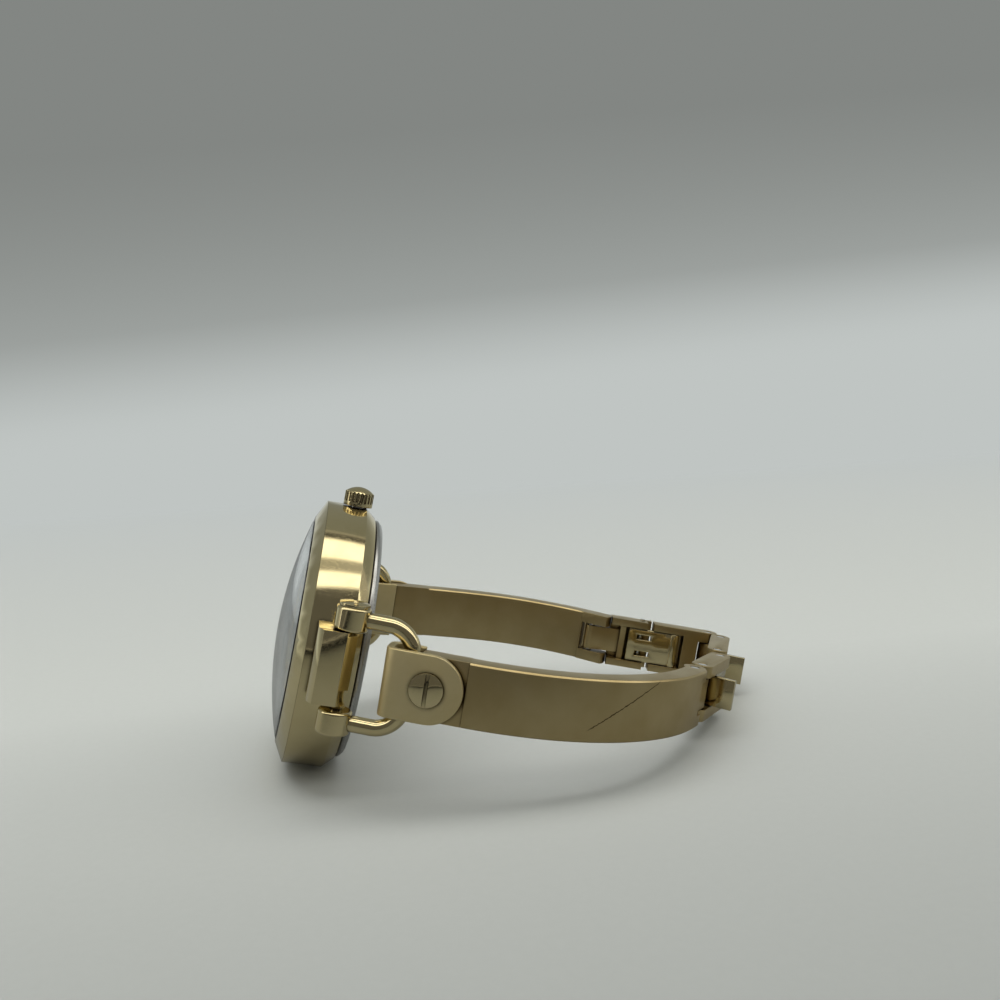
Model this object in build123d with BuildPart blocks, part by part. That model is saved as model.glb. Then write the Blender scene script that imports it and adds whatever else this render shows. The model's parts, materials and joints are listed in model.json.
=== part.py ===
from build123d import *
import os
from math import atan2, cos, degrees, hypot, radians, sin, sqrt

# A bangle watch in millimetres. The round case stands on its side, leaning on the far end of its bangle.
# Plan places are (rearward of the case's middle, towards 12 o'clock); heights run towards the crown.

# Clearances and the overrun that cuts share
running_clearance = 0.05
seat_clearance = 0.02
overrun = 1.0
edge_break = 0.2

# Case, along its axis from the middle of the case: forward to the dial side, rearward to the wrist
case_radius = 17.9
case_wall = 3.4
wall_forward = 3.6
wall_rearward = 1.6
bezel_forward = 4.9
bezel_slope_width = 2.5
bevel_rearward = 3.0
bevel_width = 1.2
bezel_wall = 0.35
spigot_wall = 0.8
spigot_depth = 0.8

# Crystal and its gasket
gasket_wall = 0.25
crystal_seat_forward = 3.8
crystal_rim_height = 1.25
crystal_dome_height = 2.2
crystal_thickness = 1.2

# Dial, its ring and the hour batons
dial_forward = 1.6
dial_thickness = 0.4
dial_margin = 0.1
dial_hole_radius = 0.75
dial_ring_slope = 0.7
dial_ring_foot = 0.3
baton_count = 12
baton_length = 2.6
baton_width = 0.7
baton_height = 0.3
baton_tip_inset = 1.6

# Hands, on a tube and a post through the dial
hand_thickness = 0.15
hour_hand_gap = 0.35
minute_hand_gap = 0.35
hour_hand_share = 0.6
minute_hand_share = 0.88
hand_root_width = 1.1
hand_tip_width = 0.35
hub_radius = 0.95
hour_tube_wall = 0.18
minute_post_radius = 0.4
hour_hand_angle = -52.0
minute_hand_angle = 54.0

# Movement; wheels are drawn at their pitch circles
movement_radius = 8.6
movement_height = 3.1
main_plate_height = 1.0
motion_recess_depth = 0.6
motion_recess_radius = 3.65
motion_pitch = 2.0
cannon_pinion_radius = 0.5
minute_pinion_radius = 0.4
wheel_height = 0.16
wheel_gap = 0.05
level_gap = 0.09
holder_wall_gap = 0.1
board_height = 0.3
board_width = 4.6
board_depth = 3.4
board_crownward = 2.4
board_twelveward = 4.7
battery_radius = 2.9
battery_height = 1.9
battery_offset = 5.2
battery_bearing = 135.0
strap_height = 0.2
strap_width = 2.0
coil_core_radius = 0.35
coil_radius = 0.75
coil_length = 6.4
coil_offset = 6.5
coil_end_length = 0.8
stator_height = 0.35
stator_width = 2.4
stator_length = 6.0
center_wheel_radius = 1.95
third_pinion_radius = 0.35
third_wheel_radius = 1.5
third_bearing = -60.0
rotor_pinion_radius = 0.3
rotor_radius = 0.6
rotor_bearing = -113.5
rotor_gap = 0.12
arbor_radius = 0.15
center_level = 0.3
third_level = 0.85
bridge_level = 1.45
bridge_height = 0.3
bridge_width = 7.4
bridge_depth = 6.4
bridge_twelveward = -2.0
bridge_crownward = 0.4
pillar_radius = 0.45
pillar_places_share = ((-0.38, 0.1), (0.38, 0.06))

# Crown, its stem, tube and gasket
stem_rearward = 0.4
stem_radius = 0.4
stem_inner_reach = 5.4
crown_radius = 1.97
crown_height = 2.6
crown_gap = 0.1
crown_dome = 0.8
crown_collar = 0.55
flute_count = 22
flute_radius = 0.17
tube_radius = 1.0
tube_inner_inset = 0.1
tube_outer_reach = 0.85
crown_recess_wall = 0.62
crown_recess_roof = 0.1
crown_socket_depth = 0.75
gasket_height = 0.4
gasket_inset = 0.15
lever_radius = 0.55
lever_height = 0.5
lever_inset = 0.6

# Case back and its gasket
back_radius_inset = 0.4
back_rearward = 4.1
back_edge_break = 0.5
back_plate = 1.2
back_spigot_wall = 1.3
back_spigot_gap = 0.1
back_gasket_height = 0.2
back_gasket_width = 1.0
back_groove_inset = 3.5
back_groove_width = 0.5
back_groove_depth = 0.2

# Lugs, cut from the case wall at 6 and 12 o'clock
lug_half_length = 4.45
lug_forward = 2.6
lug_rearward = 2.1
lug_crownward = 0.7
eye_wall_gap = 0.55
lug_front_chamfer = 1.1
lug_front_step = 0.6
lug_back_chamfer = 1.3
pin_rearward = 1.1
pin_inset = 2.05

# Shackles
eye_radius = 2.1
eye_height = 2.9
eye_edge = 0.35
eye_gap = 0.05
side_play = 0.8
bow_radius = 1.0
bow_reach = 7.9
bow_bend = 3.4
shackle_angle_6 = 11.0
shackle_angle_12 = 20.3
lug_screw_radius = 0.6
lug_head_radius = 1.85
lug_head_height = 0.35
lug_head_dome = 0.3
lug_screw_tip_inset = 0.3
slot_width = 0.5
slot_depth = 0.35

# Bangle
band_width = 7.8
band_thickness = 3.0
arm_heading_6 = 16.0
arm_heading_12 = 12.0
soft_radius_6 = 33.0
soft_radius_12 = 85.0
soft_angle_6 = 16.0
soft_angle_12 = 6.2
round_radius_6 = 29.1
round_radius_12 = 27.0
round_angle_6 = 55.0
round_angle_12 = 43.1
root_thickness = 2.6
root_gap = 0.25
shoulder_gap = 0.2

# Tabs that fold round the shackle bars
tab_strap = 0.9
tab_width = 8.3
tab_length = 9.9
tab_fold_reach = 3.0
tab_fold_radius = 0.9
tab_inner_reach = 1.35
tab_screw_from_fold = 5.55
tab_screw_skin = 0.4
tab_screw_radius = 0.6
tab_head_radius = 2.05
tab_head_height = 0.3
tab_head_dome = 0.3

# Hinged links between the arm at 6 o'clock and the clasp
near_hinge_pitch = 3.4
middle_hinge_pitch = 4.4
far_hinge_pitch = 3.0
hinge_pin_radius = 0.6
pin_end_inset = 0.05
tongue_width = 4.2
tongue_radius = 1.15
tongue_slot_width = 4.5
tongue_slot_gap = 0.4
near_hinge_heading = 50.0
link_heading = 52.7
link_length = 9.7
middle_hinge_heading = 71.6
end_link_heading = 64.9
end_link_length = 12.0
far_hinge_heading = 111.4

# Plate with two finger lips, bent to follow the two links that the middle hinge joins
lip_plate_thickness = 0.7
lip_plate_outward = 0.55
lip_height = 4.3
lip_thickness = 0.9
near_lip_reach = 7.2
far_lip_reach = 7.6

# Clasp
clasp_wall = 0.8
base_block = 4.0
base_reach = 8.95
leaf_pin_reach = 5.35
leaf_pin_radius = 0.45
leaf_pin_inward = 0.75
leaf_thickness = 0.8
leaf_knuckle_radius = 0.75
leaf_width = 5.4
leaf_side_gap = 0.1
leaf_end_gap = 0.5
leaf_hook_height = 0.9
leaf_slot_length = 2.4
leaf_slot_width = 0.8
leaf_slot_spread = 1.35
leaf_slot_inset = 1.4
cover_gap = 1.1
cover_wing = 0.8
cover_lip_reach = 5.2
cover_lip_thickness = 0.9
cover_lip_depth = 2.2
cover_nail_lip = 0.5
cover_tongue_width = 3.8
bar_radius = 0.55
bar_inward = 0.35
bar_eye_radius = 0.95
eye_swing_gap = 0.15
window_before_bar = 1.35
window_skin = 0.65
arm_end_radius = 3.0
cover_start_gap = 0.12
snap_pin_radius = 0.4
snap_pin_proud = 0.25
snap_pin_inset = 0.8

# The case hangs a little askew on the bangle, as far as the folded tabs leave play
case_tilt_angle = 1.9

# Where the case stands: back from the middle of the whole watch, and aside of it
case_setback = 27.647
case_aside = 0.516


def walk(place, length):
    """Go straight on from a plan place, given as (x, y, heading)."""
    x, y, heading = place
    return (x + length * cos(radians(heading)), y + length * sin(radians(heading)), heading)


def dome_curve(radius, height):
    """The radius of a round dome from its rim's radius and its height."""
    return (radius**2 + height**2) / (2 * height)


def bend(place, radius, turn):
    """Follow an arc from a plan place; a positive turn goes left."""
    x, y, heading = place
    hand = 1 if turn > 0 else -1
    swept = radians(heading + turn)
    return (
        x + hand * radius * (sin(swept) - sin(radians(heading))),
        y - hand * radius * (cos(swept) - cos(radians(heading))),
        heading + turn,
    )


def facing(place, heading):
    """The same plan place with another heading."""
    return (place[0], place[1], heading)


# The case's bore, and the lug pins beside its wall
bore_radius = case_radius - case_wall
lug_end_wall = sqrt(case_radius**2 - lug_half_length**2)
pin_aside = lug_end_wall + eye_radius + eye_wall_gap
lug_reach = pin_aside + pin_inset
upper_eye_middle = lug_crownward + lug_half_length + eye_gap + eye_height / 2
lower_eye_middle = lug_crownward - lug_half_length - side_play + eye_gap - eye_height / 2
eye_spread = (upper_eye_middle - lower_eye_middle) / 2
eye_shift = (upper_eye_middle + lower_eye_middle) / 2

# The shackle bars and the two arms, in plan
hours = {-1: "6", 1: "12"}
shackle_angles = {-1: shackle_angle_6, 1: shackle_angle_12}
arm_headings = {-1: arm_heading_6, 1: arm_heading_12}
soft_radii = {-1: soft_radius_6, 1: soft_radius_12}
soft_angles = {-1: soft_angle_6, 1: soft_angle_12}
round_radii = {-1: round_radius_6, 1: round_radius_12}
round_angles = {-1: round_angle_6, 1: round_angle_12}
tab_tip = tab_length - tab_fold_reach
bars = {}
tab_ends = {}
soft_ends = {}
arm_ends = {}
for side in hours:
    pin_place = (pin_rearward, side * pin_aside, side * shackle_angles[side])
    bars[side] = facing(walk(pin_place, bow_reach), side * arm_headings[side])
    tab_ends[side] = walk(bars[side], tab_tip)
    soft_ends[side] = bend(tab_ends[side], soft_radii[side], -side * soft_angles[side])
    arm_ends[side] = bend(soft_ends[side], round_radii[side], -side * round_angles[side])

# The hinged links, walked on from the arm at 6 o'clock, and the clasp, which closes the ring
near_hinge = facing(arm_ends[-1], near_hinge_heading)
link_start = facing(walk(near_hinge, near_hinge_pitch), link_heading)
middle_hinge = facing(walk(link_start, link_length), middle_hinge_heading)
end_link_start = facing(walk(middle_hinge, middle_hinge_pitch), end_link_heading)
far_hinge = facing(walk(end_link_start, end_link_length), far_hinge_heading)
clasp_corner = walk(far_hinge, far_hinge_pitch)
bar_x = arm_ends[1][0] - bar_inward * cos(radians(arm_ends[1][2] + 90))
bar_y = arm_ends[1][1] - bar_inward * sin(radians(arm_ends[1][2] + 90))
clasp_heading = degrees(atan2(bar_y - clasp_corner[1], bar_x - clasp_corner[0]))
clasp_length = hypot(bar_y - clasp_corner[1], bar_x - clasp_corner[0])
clasp_start = facing(clasp_corner, clasp_heading)

# The stance: the case's rear wall edge and the low edge of the last link both touch the ground
tilt = radians(case_tilt_angle)
hang_reach = bars[-1][0]
link_reach = far_hinge[0] + band_thickness / 2 - hang_reach
lean_rise = case_radius + eye_shift + link_reach * sin(tilt) - band_width / 2 * cos(tilt)
lean_run = link_reach * cos(tilt) + band_width / 2 * sin(tilt) + hang_reach - wall_rearward
lean = atan2(lean_rise, lean_run)
case_height = case_radius * cos(lean) + wall_rearward * sin(lean)
case_middle_point = Vector(-case_setback, -case_aside, case_height)
rear = Vector(cos(lean), 0, -sin(lean))
crown_way = Vector(sin(lean), 0, cos(lean))
twelve = Vector(0, 1, 0)
plan = Plane(origin=case_middle_point, x_dir=rear, z_dir=crown_way)
face = Plane(origin=case_middle_point, x_dir=crown_way, z_dir=-rear)
case_axis = Axis(case_middle_point, rear)

# The bangle's own plan, at its mid height, hangs on the shackle bars
band_rear = Vector(cos(lean - tilt), 0, -sin(lean - tilt))
band_crown = Vector(sin(lean - tilt), 0, cos(lean - tilt))
hang_point = plan.from_local_coords(Vector(hang_reach, 0, eye_shift))
band_origin = hang_point - band_rear * hang_reach
band_plan = Plane(origin=band_origin, x_dir=band_rear, z_dir=band_crown)
band_upward = Axis(band_origin, band_crown)


def band_plane(place, side=-1):
    """A plane at the bangle's mid height: x runs on along the band and y away from the wrist."""
    x, y, heading = place
    along = band_rear * cos(radians(heading)) + twelve * sin(radians(heading))
    origin = band_plan.from_local_coords(Vector(x, y, 0))
    return Plane(origin=origin, x_dir=along, z_dir=band_crown * side)


def upright_plane(frame, place, height=0):
    """A plane on a plan place: x runs on along its heading and y towards the crown."""
    x, y, heading = place
    along = frame.x_dir * cos(radians(heading)) + twelve * sin(radians(heading))
    origin = frame.from_local_coords(Vector(x, y, height))
    return Plane(origin=origin, x_dir=along, z_dir=along.cross(frame.z_dir))


def turned_outline(*points):
    """A closed outline of (place along the case's axis, radius) points."""
    with BuildSketch(plan, mode=Mode.PRIVATE) as outline:
        with BuildLine():
            Polyline(*points, close=True)
        make_face()
    return outline.sketch


def disc_outline(plane, place, radius):
    """A round outline at one place of a plane."""
    with BuildSketch(plane, mode=Mode.PRIVATE) as outline:
        with Locations(place):
            Circle(radius)
    return outline.sketch


def plate_outline(plane, *points):
    """A closed outline with straight sides on a plane."""
    with BuildSketch(plane, mode=Mode.PRIVATE) as outline:
        with BuildLine():
            Polyline(*points, close=True)
        make_face()
    return outline.sketch


os.makedirs("parts", exist_ok=True)

# Case middle, with its lugs, crown tube hole and lug pin holes
spigot_radius = bore_radius + spigot_wall
bevel_radius = case_radius - bevel_width
spigot_end = wall_forward - spigot_depth
lug_root = (case_radius + bore_radius) / 2
with BuildPart() as case_middle:
    revolve(
        turned_outline(
            (-wall_forward, spigot_radius),
            (-wall_forward, case_radius),
            (wall_rearward, case_radius),
            (bevel_rearward, bevel_radius),
            (bevel_rearward, bore_radius),
            (-spigot_end, bore_radius),
            (-spigot_end, spigot_radius),
        ),
        axis=case_axis,
    )
    for side in hours:
        lug = plate_outline(
            plan.offset(lug_crownward - lug_half_length),
            (-lug_forward, side * lug_root),
            (-lug_forward, side * (lug_reach - lug_front_chamfer)),
            (-lug_forward + lug_front_step, side * lug_reach),
            (lug_rearward - lug_back_chamfer, side * lug_reach),
            (lug_rearward, side * (lug_reach - lug_back_chamfer)),
            (lug_rearward, side * lug_root),
        )
        extrude(lug, amount=2 * lug_half_length)
        lug_hole = disc_outline(
            plan, (pin_rearward, side * pin_aside), lug_screw_radius + running_clearance
        )
        extrude(lug_hole, amount=case_radius, both=True, mode=Mode.SUBTRACT)
    tube_hole = disc_outline(plan, (stem_rearward, 0), tube_radius)
    extrude(tube_hole, amount=case_radius + overrun, mode=Mode.SUBTRACT)
case_middle.part.label = "case_middle"
export_step(case_middle.part, "parts/case_middle.step")

# Bezel, pressed into the case on its spigot
bezel_lip_radius = case_radius - bezel_slope_width
bezel_bore_radius = bezel_lip_radius - bezel_wall
with BuildPart() as bezel:
    revolve(
        turned_outline(
            (-wall_forward, case_radius),
            (-bezel_forward, bezel_lip_radius),
            (-bezel_forward, bezel_bore_radius),
            (-crystal_seat_forward, bezel_bore_radius),
            (-crystal_seat_forward, bore_radius),
            (-spigot_end, bore_radius),
            (-spigot_end, spigot_radius),
            (-wall_forward, spigot_radius),
        ),
        axis=case_axis,
    )
bezel.part.label = "bezel"
export_step(bezel.part, "parts/bezel.step")

# Crystal: a rim with a shallow dome, hollow behind
crystal_radius = bezel_bore_radius - gasket_wall
crystal_rim_forward = crystal_seat_forward + crystal_rim_height
dome_radius = dome_curve(crystal_radius, crystal_dome_height)
dome_apex = crystal_rim_forward + crystal_dome_height
inner_dome_radius = dome_radius - crystal_thickness
hollow_radius = bore_radius - spigot_wall
inner_dome_rim = dome_apex - dome_radius + sqrt(inner_dome_radius**2 - hollow_radius**2)
with BuildPart() as crystal:
    with BuildSketch(plan):
        with BuildLine():
            RadiusArc((-crystal_rim_forward, crystal_radius), (-dome_apex, 0), -dome_radius)
            Line((-dome_apex, 0), (-dome_apex + crystal_thickness, 0))
            RadiusArc(
                (-dome_apex + crystal_thickness, 0), (-inner_dome_rim, hollow_radius), inner_dome_radius
            )
            Line((-inner_dome_rim, hollow_radius), (-crystal_seat_forward, hollow_radius))
            Line((-crystal_seat_forward, hollow_radius), (-crystal_seat_forward, crystal_radius))
            Line((-crystal_seat_forward, crystal_radius), (-crystal_rim_forward, crystal_radius))
        make_face()
    revolve(axis=case_axis)
crystal.part.label = "crystal"
export_step(crystal.part, "parts/crystal.step")

with BuildPart() as crystal_gasket:
    revolve(
        turned_outline(
            (-crystal_seat_forward, crystal_radius),
            (-crystal_seat_forward, bezel_bore_radius),
            (-bezel_forward, bezel_bore_radius),
            (-bezel_forward, crystal_radius),
        ),
        axis=case_axis,
    )
crystal_gasket.part.label = "crystal_gasket"
export_step(crystal_gasket.part, "parts/crystal_gasket.step")

# Dial, the sloped ring round it, and the hour batons
dial_radius = bore_radius - dial_margin
dial_back = dial_forward - dial_thickness
baton_tip_radius = bore_radius - baton_tip_inset
with BuildPart() as dial:
    revolve(
        turned_outline(
            (-dial_forward, dial_hole_radius),
            (-dial_forward, dial_radius),
            (-dial_back, dial_radius),
            (-dial_back, dial_hole_radius),
        ),
        axis=case_axis,
    )
dial.part.label = "dial"
export_step(dial.part, "parts/dial.step")

with BuildPart() as dial_ring:
    revolve(
        turned_outline(
            (-dial_forward, dial_radius),
            (-spigot_end, dial_radius),
            (-spigot_end, dial_radius - dial_ring_foot),
            (-dial_forward, dial_radius - dial_ring_foot - dial_ring_slope),
        ),
        axis=case_axis,
    )
dial_ring.part.label = "dial_ring"
export_step(dial_ring.part, "parts/dial_ring.step")

with BuildPart() as hour_markers:
    with BuildSketch(face.offset(dial_forward)):
        with PolarLocations(baton_tip_radius - baton_length / 2, baton_count):
            Rectangle(baton_length, baton_width)
    extrude(amount=baton_height)
hour_markers.part.label = "hour_markers"
export_step(hour_markers.part, "parts/hour_markers.step")

# Hands: each a tapered blade on a round hub, with the tube or post that drives it
hour_tube_bore = minute_post_radius + running_clearance
hour_tube_radius = hour_tube_bore + hour_tube_wall
hour_hand_forward = dial_forward + hour_hand_gap
minute_hand_forward = hour_hand_forward + hand_thickness + minute_hand_gap
hour_hand_length = baton_tip_radius * hour_hand_share
minute_hand_length = baton_tip_radius * minute_hand_share


def hand(forward, length, angle, post_radius, bore):
    """A hand whose blade lies at one height over the dial, turned clockwise from 12 o'clock."""
    turn = radians(angle)
    blade_x = Vector(cos(turn), -sin(turn))
    blade_y = Vector(sin(turn), cos(turn))
    tip = blade_y * length
    root = blade_y * -hub_radius
    root_side = blade_x * (hand_root_width / 2)
    tip_side = blade_x * (hand_tip_width / 2)
    corners = (root - root_side, root + root_side, tip + tip_side, tip - tip_side)
    with BuildPart() as blade:
        with BuildSketch(face.offset(forward)):
            Circle(hub_radius)
            with BuildLine():
                Polyline(*corners, close=True)
            make_face()
        extrude(amount=hand_thickness)
        with BuildSketch(face.offset(forward)):
            Circle(post_radius)
        extrude(amount=-(forward - dial_forward))
        if bore:
            with BuildSketch(face.offset(dial_forward - overrun)):
                Circle(bore)
            extrude(amount=forward + overrun, mode=Mode.SUBTRACT)
    return blade


hour_hand = hand(hour_hand_forward, hour_hand_length, hour_hand_angle, hour_tube_radius, hour_tube_bore)
hour_hand.part.label = "hour_hand"
export_step(hour_hand.part, "parts/hour_hand.step")
minute_hand = hand(minute_hand_forward, minute_hand_length, minute_hand_angle, minute_post_radius, 0)
minute_hand.part.label = "minute_hand"
export_step(minute_hand.part, "parts/minute_hand.step")

# Movement: the main plate with its motion recess, in a plastic holder
plate_front = dial_back
plate_rear = dial_back - main_plate_height
motion_floor = plate_front - motion_recess_depth
movement_rear = plate_front - movement_height
holder_bore = movement_radius + holder_wall_gap / 2
holder_radius = bore_radius - holder_wall_gap
arbor_bore = minute_post_radius + running_clearance
with BuildPart() as main_plate:
    with BuildSketch(face.offset(plate_rear)):
        Circle(movement_radius)
    extrude(amount=main_plate_height)
    with BuildSketch(face.offset(motion_floor)):
        Circle(motion_recess_radius)
    extrude(amount=motion_recess_depth + overrun, mode=Mode.SUBTRACT)
    with BuildSketch(face.offset(plate_rear)):
        Circle(arbor_bore)
    extrude(amount=main_plate_height, both=True, mode=Mode.SUBTRACT)
main_plate.part.label = "main_plate"
export_step(main_plate.part, "parts/main_plate.step")

stem_plane = Plane(
    origin=plan.from_local_coords(Vector(stem_rearward, 0, 0)), x_dir=rear, z_dir=-twelve
)
stem_axis = Axis(stem_plane.origin, crown_way)
with BuildPart() as movement_holder:
    with BuildSketch(face.offset(movement_rear)):
        Circle(holder_radius)
        Circle(holder_bore, mode=Mode.SUBTRACT)
    extrude(amount=movement_height)
    stem_hole = disc_outline(plan, (stem_rearward, 0), stem_radius + holder_wall_gap)
    extrude(stem_hole, amount=case_radius, mode=Mode.SUBTRACT)
movement_holder.part.label = "movement_holder"
export_step(movement_holder.part, "parts/movement_holder.step")

# Motion work: the post turns once an hour, the wheel beside it gears the tube down to a twelfth
hour_wheel_radius = motion_pitch - minute_pinion_radius
minute_wheel_radius = motion_pitch - cannon_pinion_radius
hour_level = plate_front - level_gap
minute_level = motion_floor + level_gap + wheel_height
with BuildPart() as hour_wheel:
    with BuildSketch(face.offset(hour_level)):
        Circle(hour_wheel_radius)
    extrude(amount=-wheel_height)
    with BuildSketch(face.offset(hour_level)):
        Circle(hour_tube_radius)
    extrude(amount=dial_forward - hour_level)
    with BuildSketch(face.offset(hour_level - overrun)):
        Circle(hour_tube_bore)
    extrude(amount=dial_forward + overrun, mode=Mode.SUBTRACT)
hour_wheel.part.label = "hour_wheel"
export_step(hour_wheel.part, "parts/hour_wheel.step")

minute_wheel_place = (-motion_pitch, 0)
with BuildPart() as minute_wheel:
    with BuildSketch(face.offset(minute_level)):
        with Locations(minute_wheel_place):
            Circle(minute_wheel_radius - wheel_gap)
    extrude(amount=-wheel_height)
    with BuildSketch(face.offset(minute_level)):
        with Locations(minute_wheel_place):
            Circle(minute_pinion_radius - wheel_gap)
    extrude(amount=hour_level - minute_level)
minute_wheel.part.label = "minute_wheel"
export_step(minute_wheel.part, "parts/minute_wheel.step")

with BuildPart() as center_wheel:
    with BuildSketch(face.offset(-center_level)):
        Circle(center_wheel_radius)
    extrude(amount=wheel_height)
    with BuildSketch(face.offset(-center_level)):
        Circle(minute_post_radius)
    extrude(amount=center_level + dial_forward)
    with BuildSketch(face.offset(minute_level - wheel_height)):
        Circle(cannon_pinion_radius)
    extrude(amount=wheel_height)
center_wheel.part.label = "center_wheel"
export_step(center_wheel.part, "parts/center_wheel.step")

# Gear train from the rotor to the centre wheel, under its bridge
third_distance = center_wheel_radius + third_pinion_radius
third_place = Vector(cos(radians(third_bearing)), sin(radians(third_bearing))) * third_distance
rotor_distance = third_wheel_radius + rotor_pinion_radius
rotor_way = Vector(cos(radians(rotor_bearing)), sin(radians(rotor_bearing)))
rotor_place = third_place + rotor_way * rotor_distance
with BuildPart() as third_wheel:
    with BuildSketch(face.offset(-third_level)):
        with Locations(third_place):
            Circle(third_wheel_radius - wheel_gap)
    extrude(amount=wheel_height)
    with BuildSketch(face.offset(-third_level)):
        with Locations(third_place):
            Circle(third_pinion_radius - wheel_gap)
    extrude(amount=third_level + plate_rear - level_gap)
    with BuildSketch(face.offset(-third_level)):
        with Locations(third_place):
            Circle(arbor_radius)
    extrude(amount=-(bridge_level - third_level - level_gap))
third_wheel.part.label = "third_wheel"
export_step(third_wheel.part, "parts/third_wheel.step")

with BuildPart() as rotor:
    with BuildSketch(face.offset(plate_rear - level_gap)):
        with Locations(rotor_place):
            Circle(rotor_radius)
    extrude(amount=-(third_level - wheel_height + plate_rear - level_gap - level_gap))
    with BuildSketch(face.offset(plate_rear - level_gap)):
        with Locations(rotor_place):
            Circle(rotor_pinion_radius - wheel_gap)
    extrude(amount=-(third_level + plate_rear))
    with BuildSketch(face.offset(plate_rear - level_gap)):
        with Locations(rotor_place):
            Circle(arbor_radius)
    extrude(amount=-(bridge_level + plate_rear - level_gap - level_gap))
rotor.part.label = "rotor"
export_step(rotor.part, "parts/rotor.step")

with BuildPart() as train_bridge:
    with BuildSketch(face.offset(-bridge_level)):
        with Locations((bridge_crownward, bridge_twelveward)):
            RectangleRounded(bridge_width, bridge_depth, bridge_depth / 4)
    extrude(amount=-bridge_height)
    with BuildSketch(face.offset(-bridge_level)):
        for crown_share, twelve_share in pillar_places_share:
            pillar_place = (
                bridge_crownward + crown_share * bridge_width,
                bridge_twelveward + twelve_share * bridge_depth,
            )
            with Locations(pillar_place):
                Circle(pillar_radius)
    extrude(amount=bridge_level + plate_rear)
train_bridge.part.label = "train_bridge"
export_step(train_bridge.part, "parts/train_bridge.step")

# Stator with the rotor's hole, and the coil on its core
with BuildPart() as stator:
    with BuildSketch(face.offset(plate_rear)):
        with Locations((0, rotor_place.Y)):
            Rectangle(stator_length, stator_width)
        with Locations(rotor_place):
            Circle(rotor_radius + rotor_gap, mode=Mode.SUBTRACT)
    extrude(amount=-stator_height)
stator.part.label = "stator"
export_step(stator.part, "parts/stator.step")

coil_height = -plate_rear + coil_radius
coil_middle = face.from_local_coords(Vector(0, -coil_offset, -coil_height))
coil_plane = Plane(origin=coil_middle, x_dir=twelve, z_dir=crown_way)
coil_half = coil_length / 2
with BuildPart() as coil_core:
    with BuildSketch(coil_plane):
        Circle(coil_core_radius)
    extrude(amount=coil_half + coil_end_length, both=True)
coil_core.part.label = "coil_core"
export_step(coil_core.part, "parts/coil_core.step")

with BuildPart() as coil_winding:
    with BuildSketch(coil_plane):
        Circle(coil_radius)
        Circle(coil_core_radius, mode=Mode.SUBTRACT)
    extrude(amount=coil_half, both=True)
coil_winding.part.label = "coil_winding"
export_step(coil_winding.part, "parts/coil_winding.step")

with BuildPart() as circuit_board:
    with BuildSketch(face.offset(plate_rear)):
        with Locations((board_crownward, board_twelveward)):
            Rectangle(board_width, board_depth)
    extrude(amount=-board_height)
circuit_board.part.label = "circuit_board"
export_step(circuit_board.part, "parts/circuit_board.step")

# Battery, held down by a strap
battery_way = Vector(cos(radians(battery_bearing)), sin(radians(battery_bearing)))
battery_place = battery_way * battery_offset
with BuildPart() as battery:
    with BuildSketch(face.offset(plate_rear)):
        with Locations(battery_place):
            Circle(battery_radius)
    extrude(amount=-battery_height)
battery.part.label = "battery"
export_step(battery.part, "parts/battery.step")

with BuildPart() as battery_strap:
    with BuildSketch(face.offset(plate_rear - battery_height)):
        with Locations(battery_place):
            Rectangle(2 * battery_radius, strap_width, rotation=battery_bearing + 90)
    extrude(amount=-strap_height)
battery_strap.part.label = "battery_strap"
export_step(battery_strap.part, "parts/battery_strap.step")

# Stem, setting lever, crown tube, crown and crown gasket
crown_start = case_radius + crown_gap
crown_end = crown_start + crown_height
tube_end = case_radius + tube_outer_reach
recess_end = tube_end + crown_recess_roof
recess_radius = crown_radius - crown_recess_wall
socket_end = recess_end + crown_socket_depth
with BuildPart() as stem:
    with BuildSketch(plan.offset(stem_inner_reach)):
        with Locations((stem_rearward, 0)):
            Circle(stem_radius)
    extrude(amount=socket_end - stem_inner_reach)
stem.part.label = "stem"
export_step(stem.part, "parts/stem.step")

with BuildPart() as setting_lever:
    with BuildSketch(plan.offset(stem_inner_reach + lever_inset)):
        with Locations((stem_rearward, 0)):
            Circle(lever_radius)
            Circle(stem_radius + seat_clearance, mode=Mode.SUBTRACT)
    extrude(amount=lever_height)
setting_lever.part.label = "setting_lever"
export_step(setting_lever.part, "parts/setting_lever.step")

with BuildPart() as crown_tube:
    with BuildSketch(plan.offset(bore_radius + tube_inner_inset)):
        with Locations((stem_rearward, 0)):
            Circle(tube_radius)
            Circle(stem_radius + running_clearance, mode=Mode.SUBTRACT)
    extrude(amount=tube_end - bore_radius - tube_inner_inset)
crown_tube.part.label = "crown_tube"
export_step(crown_tube.part, "parts/crown_tube.step")

crown_curve = dome_curve(crown_radius, crown_dome)
with BuildPart() as crown:
    with BuildSketch(stem_plane):
        with BuildLine():
            Polyline(
                (0, crown_end),
                (0, socket_end),
                (stem_radius, socket_end),
                (stem_radius, recess_end),
                (recess_radius, recess_end),
                (recess_radius, crown_start),
                (crown_radius, crown_start),
                (crown_radius, crown_end - crown_dome),
            )
            RadiusArc((crown_radius, crown_end - crown_dome), (0, crown_end), -crown_curve)
        make_face()
    revolve(axis=stem_axis)
    with BuildSketch(plan.offset(crown_start + crown_collar)):
        with Locations((stem_rearward, 0)):
            with PolarLocations(crown_radius, flute_count):
                Circle(flute_radius)
    extrude(amount=crown_height, mode=Mode.SUBTRACT)
crown.part.label = "crown"
export_step(crown.part, "parts/crown.step")

with BuildPart() as crown_gasket:
    with BuildSketch(plan.offset(crown_start + gasket_inset)):
        with Locations((stem_rearward, 0)):
            Circle(recess_radius)
            Circle(tube_radius + seat_clearance, mode=Mode.SUBTRACT)
    extrude(amount=gasket_height)
crown_gasket.part.label = "crown_gasket"
export_step(crown_gasket.part, "parts/crown_gasket.step")

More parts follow.
